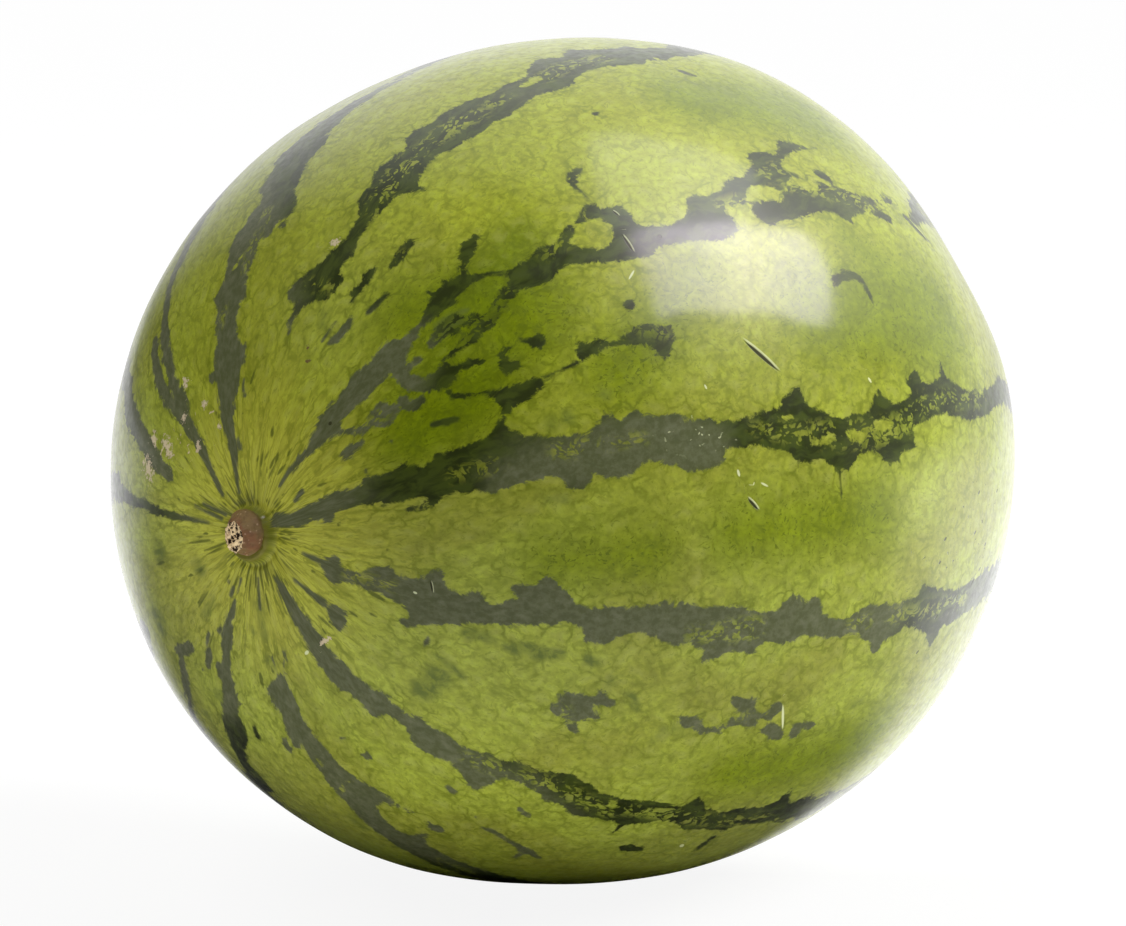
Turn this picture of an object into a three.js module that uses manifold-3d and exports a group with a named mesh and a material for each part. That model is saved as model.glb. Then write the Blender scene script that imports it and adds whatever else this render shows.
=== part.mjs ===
// A striped watermelon lying on its side: the fruit, whole, and the dry stub of the stalk it was cut from.
// Millimetres. +X runs along the fruit from its stalk end to its blossom end, and +Z is up. The origin is on the
// surface that the fruit rests on, under the middle of its outline.

import * as THREE from 'three';
import { mergeVertices } from 'three/addons/utils/BufferGeometryUtils.js';
import Module from 'manifold-3d';

// The fruit is an ellipsoid, longer along X than it is wide.
const HALF_LENGTH = 127.9;
const HALF_WIDTH = 109;
// The fruit's centre stands this far above the surface: its own weight flattens the spot it rests on.
const REST_HEIGHT = 106.2;

// Slow swellings and flats of the skin. angle is counted along the fruit from the stalk, 0, to the blossom, 180.
// turn is counted round it from the top, 0, through the front, 90, and the underside, 180. Both are in degrees.
// height is at the middle, in millimetres, and falls away over about spread degrees.
const SWELLINGS = [
  { angle: 109, turn: 16, spread: 16, height: 1.6 },
  { angle: 124, turn: 55, spread: 14, height: -2.1 },
  { angle: 122, turn: 88, spread: 24, height: 0.8 },
  { angle: 78, turn: -20, spread: 14, height: -0.7 },
  { angle: 106, turn: 134, spread: 22, height: 1.3 },
  { angle: 50, turn: 205, spread: 20, height: 0.3 },
  { angle: 77, turn: 176, spread: 15, height: -1.5 },
  { angle: 98, turn: -95, spread: 24, height: -0.9 },
  { angle: 70, turn: -128, spread: 20, height: 0.9 },
  { angle: 132, turn: -150, spread: 22, height: 0.8 },
];

// Stalk end: a shallow hollow, and in it a low collar of rind with a flat seat for the stalk.
const STALK_HOLLOW = { depth: 1.4, radius: 17 };
const COLLAR = { lipRadius: 5.7, footRadius: 7.9, height: 2.2 };
// Blossom end: a shallow hollow round the small raised scar that the flower leaves.
const BLOSSOM_HOLLOW = { depth: 1.5, radius: 11 };
const SCAR = { lipRadius: 2.6, footRadius: 4.2, height: 0.7 };

// The stub stands on its seat with a gap, narrows to the broken tip, and leans to the back and down.
const SEAT_GAP = 0.3;
const STUB_LENGTH = 4.5;
const STUB_BASE_RADIUS = 5.4;
const STUB_TIP_RADIUS = 3.7;
const STUB_LEAN = { back: 0.9, down: 0.6 };
const STUB_TIP_SLOPE = 0.35;

// Facets: sides round the fruit, rings at chosen radii at its two ends, and rings every ROW_STEP degrees between
// them, which start END_ANGLE degrees from either pole.
const SIDES = 64;
const STALK_END_RADII = [0, COLLAR.lipRadius, 6.8, COLLAR.footRadius, 10, 14];
const BLOSSOM_END_RADII = [14, 9, 6, SCAR.footRadius, SCAR.lipRadius, 0];
const ROW_STEP = 5.5;
const END_ANGLE = 11;
const STUB_SIDES = 24;
const STUB_ROWS = 5;

const RIND = { color: 0x8fa03a, roughness: 0.35, metalness: 0 };
const DRY_STALK = { color: 0x7a5a3c, roughness: 0.85, metalness: 0 };

const manifold = await Module();
manifold.setup();

// Turns a closed three.js geometry into a solid, without the triangles that close to a point at a pole.
function toSolid(geometry) {
  const bare = geometry.clone();
  bare.deleteAttribute('normal');
  bare.deleteAttribute('uv');
  const merged = mergeVertices(bare);
  const corners = [];
  for (let i = 0; i < merged.index.count; i += 3) {
    const [a, b, c] = [0, 1, 2].map((k) => merged.index.getX(i + k));
    if (a !== b && b !== c && c !== a) corners.push(a, b, c);
  }
  const mesh = new manifold.Mesh({
    numProp: 3,
    vertProperties: new Float32Array(merged.attributes.position.array),
    triVerts: new Uint32Array(corners),
  });
  return new manifold.Manifold(mesh);
}

// Turns a solid back into a three.js geometry.
function toGeometry(solid) {
  const { numProp, vertProperties, triVerts } = solid.getMesh();
  const geometry = new THREE.BufferGeometry();
  const interleaved = new THREE.InterleavedBuffer(vertProperties, numProp);
  geometry.setAttribute('position', new THREE.InterleavedBufferAttribute(interleaved, 3, 0));
  geometry.setIndex(new THREE.BufferAttribute(triVerts, 1));
  const flat = geometry.toNonIndexed();
  flat.computeVertexNormals();
  return flat;
}

// How far a low disc stands up at a distance from its middle: flat inside the lip, gone outside the foot.
function discHeight({ lipRadius, footRadius, height }, radius) {
  return height * (1 - THREE.MathUtils.smoothstep(radius, lipRadius, footRadius));
}

function hollowDepth({ depth, radius: spread }, radius) {
  return depth * Math.exp(-((radius / spread) ** 2));
}

// Distance from the fruit's centre to its skin along X, on one end, at a radius from the axis.
function endReach(hollow, disc, radius) {
  const level = Math.max(radius, disc.lipRadius);
  const ellipse = HALF_LENGTH * Math.sqrt(1 - (level / HALF_WIDTH) ** 2);
  return ellipse - hollowDepth(hollow, level) + discHeight(disc, level);
}

const stalkReach = (radius) => endReach(STALK_HOLLOW, COLLAR, radius);
const blossomReach = (radius) => endReach(BLOSSOM_HOLLOW, SCAR, radius);

// The fruit's outline as radius and place along X, from the stalk end to the blossom end.
function fruitProfile() {
  const points = STALK_END_RADII.map((radius) => new THREE.Vector2(radius, -stalkReach(radius)));
  const rows = Math.round((180 - 2 * END_ANGLE) / ROW_STEP);
  for (let row = 0; row <= rows; row += 1) {
    const angle = THREE.MathUtils.degToRad(END_ANGLE + ((180 - 2 * END_ANGLE) * row) / rows);
    const radius = HALF_WIDTH * Math.sin(angle);
    const along = angle < Math.PI / 2 ? -stalkReach(radius) : blossomReach(radius);
    points.push(new THREE.Vector2(radius, along));
  }
  BLOSSOM_END_RADII.forEach((radius) => points.push(new THREE.Vector2(radius, blossomReach(radius))));
  return points;
}

// A unit direction from the fruit's centre, for an angle along it and a turn round it, in degrees.
function skinDirection(angle, turn) {
  const along = THREE.MathUtils.degToRad(angle);
  const round = THREE.MathUtils.degToRad(turn);
  return new THREE.Vector3(
    -Math.cos(along),
    -Math.sin(along) * Math.sin(round),
    Math.sin(along) * Math.cos(round),
  );
}

// The sum of all the swellings in one direction.
function swelling(direction) {
  let height = 0;
  for (const lump of SWELLINGS) {
    const away = 1 - direction.dot(skinDirection(lump.angle, lump.turn));
    height += lump.height * Math.exp(-away / (1 - Math.cos(THREE.MathUtils.degToRad(lump.spread))));
  }
  return height;
}

function swell(geometry) {
  const size = new THREE.Vector3(HALF_LENGTH, HALF_WIDTH, HALF_WIDTH);
  const { position } = geometry.attributes;
  for (let i = 0; i < position.count; i += 1) {
    const point = new THREE.Vector3().fromBufferAttribute(position, i);
    const direction = point.clone().divide(size).normalize();
    const outwards = direction.clone().divide(size).normalize();
    point.addScaledVector(outwards, swelling(direction));
    position.setXYZ(i, point.x, point.y, point.z);
  }
}

// The fruit with its centre at the origin: a lathe turned round X, swollen, and cut flat where it rests.
function makeFruit() {
  const body = new THREE.LatheGeometry(fruitProfile(), SIDES);
  body.rotateZ(-Math.PI / 2);
  swell(body);
  const below = new THREE.BoxGeometry(4 * HALF_LENGTH, 4 * HALF_WIDTH, HALF_WIDTH);
  below.translate(0, 0, -REST_HEIGHT - HALF_WIDTH / 2);
  const fruit = new THREE.Mesh(
    toGeometry(toSolid(body).subtract(toSolid(below))),
    new THREE.MeshStandardMaterial(RIND),
  );
  fruit.name = 'fruit';
  return fruit;
}

// The stub's outline as radius and place along X, from its broken tip to the seat.
function stubProfile() {
  const points = [new THREE.Vector2(0, -STUB_LENGTH)];
  for (let row = 0; row <= STUB_ROWS; row += 1) {
    const down = row / STUB_ROWS;
    const radius = STUB_TIP_RADIUS + (STUB_BASE_RADIUS - STUB_TIP_RADIUS) * Math.sin((down * Math.PI) / 2);
    points.push(new THREE.Vector2(radius, -STUB_LENGTH * (1 - down)));
  }
  points.push(new THREE.Vector2(0, 0));
  return points;
}

// The dry stub: its upper part leans, and its tip is broken off on a slope that faces the back.
function makeStalkStub() {
  const stub = new THREE.LatheGeometry(stubProfile(), STUB_SIDES);
  stub.rotateZ(-Math.PI / 2);
  const { position } = stub.attributes;
  for (let i = 0; i < position.count; i += 1) {
    const rise = -position.getX(i) / STUB_LENGTH;
    const across = position.getY(i);
    position.setX(i, position.getX(i) + STUB_TIP_SLOPE * across * rise);
    position.setY(i, across + STUB_LEAN.back * rise ** 2);
    position.setZ(i, position.getZ(i) - STUB_LEAN.down * rise ** 2);
  }
  stub.computeVertexNormals();
  const mesh = new THREE.Mesh(stub, new THREE.MeshStandardMaterial(DRY_STALK));
  mesh.name = 'stalk_stub';
  mesh.position.x = -stalkReach(0) - SEAT_GAP;
  return mesh;
}

const watermelon = new THREE.Group();
watermelon.name = 'watermelon';
watermelon.add(makeFruit(), makeStalkStub());

// Puts the origin on the resting surface, under the middle of the outline.
watermelon.updateMatrixWorld(true);
const outline = new THREE.Box3().setFromObject(watermelon);
const middle = outline.getCenter(new THREE.Vector3());
watermelon.position.set(-middle.x, -middle.y, -outline.min.z);

export default watermelon;
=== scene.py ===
"""A striped watermelon on its side, and the dry stub of the stalk that it was cut from.

Sizes are in millimetres, in a frame with its origin at the middle of the fruit. +X runs from the stalk end to
the blossom end, and +Z is up. A place on the skin is an angle along the fruit, from 0 at the stalk to 180 at
the blossom, and a turn round it, from 0 at the top through 90 at the front to 180 underneath, in degrees.
"""
import logging
import math
from dataclasses import dataclass, field
from enum import Enum
from functools import reduce

import bpy
import numpy as np
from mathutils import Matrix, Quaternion, Vector


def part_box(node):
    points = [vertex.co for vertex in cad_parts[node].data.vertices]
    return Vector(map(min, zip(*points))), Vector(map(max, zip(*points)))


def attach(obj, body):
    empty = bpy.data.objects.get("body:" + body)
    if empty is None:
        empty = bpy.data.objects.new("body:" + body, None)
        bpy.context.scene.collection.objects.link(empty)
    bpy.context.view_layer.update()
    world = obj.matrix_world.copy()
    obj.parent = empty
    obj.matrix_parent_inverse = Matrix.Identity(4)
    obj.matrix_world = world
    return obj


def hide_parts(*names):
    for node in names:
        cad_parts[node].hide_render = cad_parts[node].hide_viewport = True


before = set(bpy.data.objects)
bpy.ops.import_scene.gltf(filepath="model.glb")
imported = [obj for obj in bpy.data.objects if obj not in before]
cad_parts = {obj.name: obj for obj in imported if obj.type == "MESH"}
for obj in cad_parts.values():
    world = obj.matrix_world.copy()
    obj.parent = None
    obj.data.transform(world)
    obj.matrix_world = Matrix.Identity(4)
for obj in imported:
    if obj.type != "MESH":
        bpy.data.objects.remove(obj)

Array = np.ndarray
Colour = tuple[float, float, float, float]
Socket = bpy.types.NodeSocket
Trail = tuple[float, float, float]
Inputs = dict[str | int, object]

log = logging.getLogger("watermelon")

MM = 0.001
BODY = "root"
FRUIT_NODE = "fruit"
STUB_NODE = "stalk_stub"


def shade(red: int, green: int, blue: int) -> Colour:
    """Turns a screen colour into the linear one that a shader takes.

    Args:
        red: Screen red, 0 to 255.
        green: Screen green, 0 to 255.
        blue: Screen blue, 0 to 255.

    Returns:
        Linear red, green, blue and a full alpha.
    """
    screen = np.array([red, green, blue]) / 255
    linear = np.where(screen <= 0.04045, screen / 12.92, ((screen + 0.055) / 1.055) ** 2.4)
    return (float(linear[0]), float(linear[1]), float(linear[2]), 1.0)


def ease(value: Array, low: float, high: float) -> Array:
    """Smooth step: 3t^2 - 2t^3, where t is how far value is from low to high.

    Args:
        value: The numbers.
        low: Where the step begins.
        high: Where it ends.

    Returns:
        0 below low, 1 above high, and the step between.
    """
    along = np.clip((value - low) / (high - low), 0, 1)
    return along * along * (3 - 2 * along)


def hump(value: Array, middle: float, width: float) -> Array:
    """A bell curve: exp(-((value - middle) / width)^2)."""
    return np.exp(-(((value - middle) / width) ** 2))


def shell_faces(rings: int, sides: int) -> list[list[int]]:
    """Faces of a closed shell whose points go ring by ring, then its first pole, then its last pole.

    Args:
        rings: How many rings of points there are.
        sides: How many points each ring has.

    Returns:
        Quads between neighbouring rings, and a fan of triangles from each end ring to its pole.
    """
    ring, side = np.meshgrid(np.arange(rings - 1), np.arange(sides), indexing="ij")
    after = (side + 1) % sides
    this, following = ring * sides, (ring + 1) * sides
    quads = np.stack([this + side, this + after, following + after, following + side], axis=-1).reshape(-1, 4)
    here = np.arange(sides)
    there = (here + 1) % sides
    last = (rings - 1) * sides
    first_fan = np.stack([np.full(sides, rings * sides), there, here], axis=-1)
    last_fan = np.stack([np.full(sides, rings * sides + 1), last + here, last + there], axis=-1)
    return quads.tolist() + first_fan.tolist() + last_fan.tolist()


def make_piece(
    name: str, places: Array, faces: list[list[int]], traits: dict[str, Array]
) -> bpy.types.Object:
    """Makes a smooth mesh object at the origin, with its place in its points.

    Args:
        name: The piece's name.
        places: Its points in metres, in the part's frame.
        faces: Its faces as lists of point numbers.
        traits: Values kept at each point for the finish to read: one number or three for each.

    Returns:
        The new object, in the scene.
    """
    mesh = bpy.data.meshes.new(name)
    mesh.from_pydata(places.tolist(), [], faces)
    for trait, values in traits.items():
        is_vector = values.ndim == 2
        attribute = mesh.attributes.new(trait, "FLOAT_VECTOR" if is_vector else "FLOAT", "POINT")
        attribute.data.foreach_set("vector" if is_vector else "value", values.astype(np.float32).ravel())
    mesh.polygons.foreach_set("use_smooth", [True] * len(mesh.polygons))
    mesh.update()
    piece = bpy.data.objects.new(name, mesh)
    bpy.context.scene.collection.objects.link(piece)
    return piece


# ---------------- the fruit's form ----------------


@dataclass(frozen=True)
class Swelling:
    """A slow swelling or flat of the skin, height mm at its middle, that fades over about spread degrees."""

    angle: float
    turn: float
    spread: float
    height: float


@dataclass(frozen=True)
class Hollow:
    """A shallow hollow at one end of the fruit."""

    depth: float
    radius: float


@dataclass(frozen=True)
class Disc:
    """A low round platform at one end of the fruit: flat inside its lip, gone outside its foot.

    Its middle is back and down from the fruit's axis by those distances.
    """

    lip_radius: float
    foot_radius: float
    height: float
    back: float = 0.0
    down: float = 0.0


@dataclass(frozen=True)
class FruitForm:
    """The shape of the skin: an ellipsoid with shallow hollows, a collar, a scar, swellings and fine waves.

    Each set of folds round the collar is how many there are in a turn, their phase, and their share of the
    height.
    """

    half_length: float = 127.9
    half_width: float = 109.0
    rest_height: float = 106.2
    stalk_hollow: Hollow = Hollow(depth=1.4, radius=17)
    blossom_hollow: Hollow = Hollow(depth=1.5, radius=11)
    collar: Disc = Disc(lip_radius=5.6, foot_radius=7.2, height=2.2, back=1.7, down=1.0)
    scar: Disc = Disc(lip_radius=2.6, foot_radius=4.2, height=0.7)
    swellings: tuple[Swelling, ...] = (
        Swelling(109, 16, 16, 1.6),
        Swelling(124, 55, 14, -2.1),
        Swelling(122, 88, 24, 0.8),
        Swelling(78, -20, 14, -0.7),
        Swelling(106, 134, 22, 1.3),
        Swelling(50, 205, 20, 0.3),
        Swelling(77, 176, 15, -1.5),
        Swelling(98, -95, 24, -0.9),
        Swelling(70, -128, 20, 0.9),
        Swelling(132, -150, 22, 0.8),
    )
    seat_softness: float = 0.25
    wave_seed: int = 11
    wave_count: int = 26
    wave_height: float = 0.055
    wave_pitches: tuple[float, float] = (5, 42)
    furrow_height: float = 0.28
    folds: tuple[tuple[float, float, float], ...] = ((7, 0.6, 1.0), (12, 2.1, 0.8), (19, 4.0, 0.5))
    crease_depth: float = 0.35
    lip_height: float = 0.25

    def size(self) -> Array:
        """The ellipsoid's half sizes along X, Y and Z."""
        return np.array([self.half_length, self.half_width, self.half_width])

    def away(self, disc: Disc, radius: Array, turn: Array) -> Array:
        """How far points are from a platform's own middle.

        Args:
            disc: The platform.
            radius: The points' distances from the fruit's axis.
            turn: Their turns round it, in degrees.

        Returns:
            The distances.
        """
        round_ = np.radians(turn)
        return np.hypot(-radius * np.sin(round_) - disc.back, radius * np.cos(round_) + disc.down)

    def reach(self, hollow: Hollow, disc: Disc, radius: Array, turn: Array) -> Array:
        """How far along X one end's skin is from the middle: ellipse, less its hollow, plus its platform.

        Args:
            hollow: That end's hollow, depth * exp(-(radius / hollow radius)^2).
            disc: That end's platform, which fades between its lip and its foot by a smooth step.
            radius: Distances from the fruit's axis.
            turn: Turns round it, in degrees.

        Returns:
            The distances along X.
        """
        level = np.maximum(radius, disc.lip_radius)
        ellipse = self.half_length * np.sqrt(np.clip(1 - (level / self.half_width) ** 2, 0, 1))
        level = np.maximum(self.away(disc, radius, turn), disc.lip_radius)
        sink = hollow.depth * np.exp(-((level / hollow.radius) ** 2))
        return ellipse - sink + disc.height * (1 - ease(level, disc.lip_radius, disc.foot_radius))

    @staticmethod
    def directions(angle: Array, turn: Array) -> Array:
        """Unit directions from the middle: (-cos angle, -sin angle sin turn, sin angle cos turn).

        Args:
            angle: Angles along the fruit, in degrees.
            turn: Turns round it, in degrees.

        Returns:
            The directions, one row each.
        """
        along, round_ = np.radians(angle), np.radians(turn)
        across = np.sin(along)
        return np.stack([-np.cos(along), -across * np.sin(round_), across * np.cos(round_)], axis=-1)

    def skin(self, angle: Array, turn: Array) -> Array:
        """Places on the smooth skin, before its fine waves and the flat that it rests on.

        The radius is half_width * sin(angle), X is that end's reach at the radius, and each place then moves
        out along the ellipsoid's normal by the sum of height * exp(-(1 - cos away) / (1 - cos spread)).

        Args:
            angle: Angles along the fruit, in degrees.
            turn: Turns round it, in degrees.

        Returns:
            The places, one row each.
        """
        angle, turn = np.broadcast_arrays(np.asarray(angle, float), np.asarray(turn, float))
        radius = self.half_width * np.sin(np.radians(angle))
        along = np.where(
            angle < 90,
            -self.reach(self.stalk_hollow, self.collar, radius, turn),
            self.reach(self.blossom_hollow, self.scar, radius, turn),
        )
        round_ = np.radians(turn)
        places = np.stack([along, -radius * np.sin(round_), radius * np.cos(round_)], axis=-1)
        heading = places / self.size()
        heading /= np.linalg.norm(heading, axis=-1, keepdims=True)
        height = np.zeros(angle.shape)
        for lump in self.swellings:
            away = 1 - heading @ self.directions(np.array(lump.angle), np.array(lump.turn))
            height += lump.height * np.exp(-away / (1 - math.cos(math.radians(lump.spread))))
        return places + height[..., None] * self.outwards(places)

    def outwards(self, places: Array) -> Array:
        """Unit normals of the plain ellipsoid under each place."""
        normal = places / self.size() ** 2
        return normal / np.linalg.norm(normal, axis=-1, keepdims=True)

    def waves(self, places: Array) -> Array:
        """Fine unevenness of the skin: a sum of sines of the direction along seeded axes, shorter ones lower.

        Args:
            places: Places on the skin.

        Returns:
            The height at each place.
        """
        random = np.random.default_rng(self.wave_seed)
        axes = random.normal(size=(3, self.wave_count))
        axes /= np.linalg.norm(axes, axis=0)
        pitch = np.geomspace(*self.wave_pitches, self.wave_count)
        phase = random.uniform(0, 2 * np.pi, self.wave_count)
        heading = places / np.linalg.norm(places, axis=-1, keepdims=True)
        height = self.wave_height * (pitch[0] / pitch) ** 0.6
        return (np.sin(heading @ axes * pitch + phase) * height).sum(axis=-1)

    def furrows(self, angle: Array, turn: Array) -> Array:
        """Radial folds of the skin round the collar, a crease at its foot, and a rounded lip on it.

        Args:
            angle: Angles along the fruit, in degrees.
            turn: Turns round it, in degrees.

        Returns:
            The height at each point.
        """
        radius = self.away(self.collar, self.half_width * np.sin(np.radians(angle)), turn)
        near = hump(radius, self.collar.foot_radius + 2.5, 6.5)
        round_ = np.radians(turn)
        folds = sum(share * np.sin(count * round_ + phase) for count, phase, share in self.folds)
        crease = -self.crease_depth * hump(radius, self.collar.foot_radius + 0.5, 0.7)
        lip = self.lip_height * hump(radius, self.collar.lip_radius + 0.2, 0.6)
        return np.where(angle < 90, self.furrow_height * near * folds / 2 + crease + lip, 0)

    def seated(self, places: Array) -> Array:
        """Flattens what is below the resting height: z becomes a soft maximum of itself and that height.

        Args:
            places: Places on the skin.

        Returns:
            The places where they come to rest.
        """
        rise = (places[:, 2] + self.rest_height) / self.seat_softness
        settled = places.copy()
        settled[:, 2] = self.seat_softness * np.logaddexp(0, rise) - self.rest_height
        return settled


# ---------------- the skin's pattern ----------------


class Ink(Enum):
    """What a stroke of the pattern does to the skin."""

    DARK = "dark"
    PALE = "pale"
    FAINT = "faint"
    NETTED = "netted"
    VIVID = "vivid"
    SPECKED = "specked"
    PITTED = "pitted"
    BLEACHED = "bleached"
    LUSH = "lush"
    RAY = "ray"
    BLOOM = "bloom"


@dataclass(frozen=True)
class Stroke:
    """A stroke along a trail of (angle, turn, half width): the width in mm, or in degrees of turn."""

    ink: Ink
    trail: tuple[Trail, ...]
    wide_in_turn: bool = False


@dataclass(frozen=True)
class Outline:
    """A patch with a crisp edge: a closed line through its (angle, turn) corners."""

    ink: Ink
    corners: tuple[tuple[float, float], ...]


Mark = Stroke | Outline


def stripe(*trail: Trail) -> Stroke:
    """A dark stripe along the fruit, its half widths in degrees of turn."""
    return Stroke(Ink.DARK, trail, wide_in_turn=True)


def dark(*trail: Trail) -> Stroke:
    """A dark mark, its half widths in mm."""
    return Stroke(Ink.DARK, trail)


def pale(*trail: Trail) -> Stroke:
    """A pale island or notch in the dark, its half widths in mm."""
    return Stroke(Ink.PALE, trail)


def faint(*trail: Trail) -> Stroke:
    """A soft green cloud, its half widths in mm."""
    return Stroke(Ink.FAINT, trail)


def netted(*trail: Trail) -> Stroke:
    """A stretch where pale flecks break up the dark, its half widths in mm."""
    return Stroke(Ink.NETTED, trail)


def vivid(*trail: Trail) -> Stroke:
    """A stretch of stronger, darker yellow-green ground, its half widths in mm."""
    return Stroke(Ink.VIVID, trail)


def dark_patch(*corners: tuple[float, float]) -> Outline:
    """A dark patch with a crisp edge."""
    return Outline(Ink.DARK, corners)


def pale_patch(*corners: tuple[float, float]) -> Outline:
    """A pale island in the dark with a crisp edge."""
    return Outline(Ink.PALE, corners)


def faint_patch(*corners: tuple[float, float]) -> Outline:
    """A mid green patch with a crisp edge."""
    return Outline(Ink.FAINT, corners)


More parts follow.
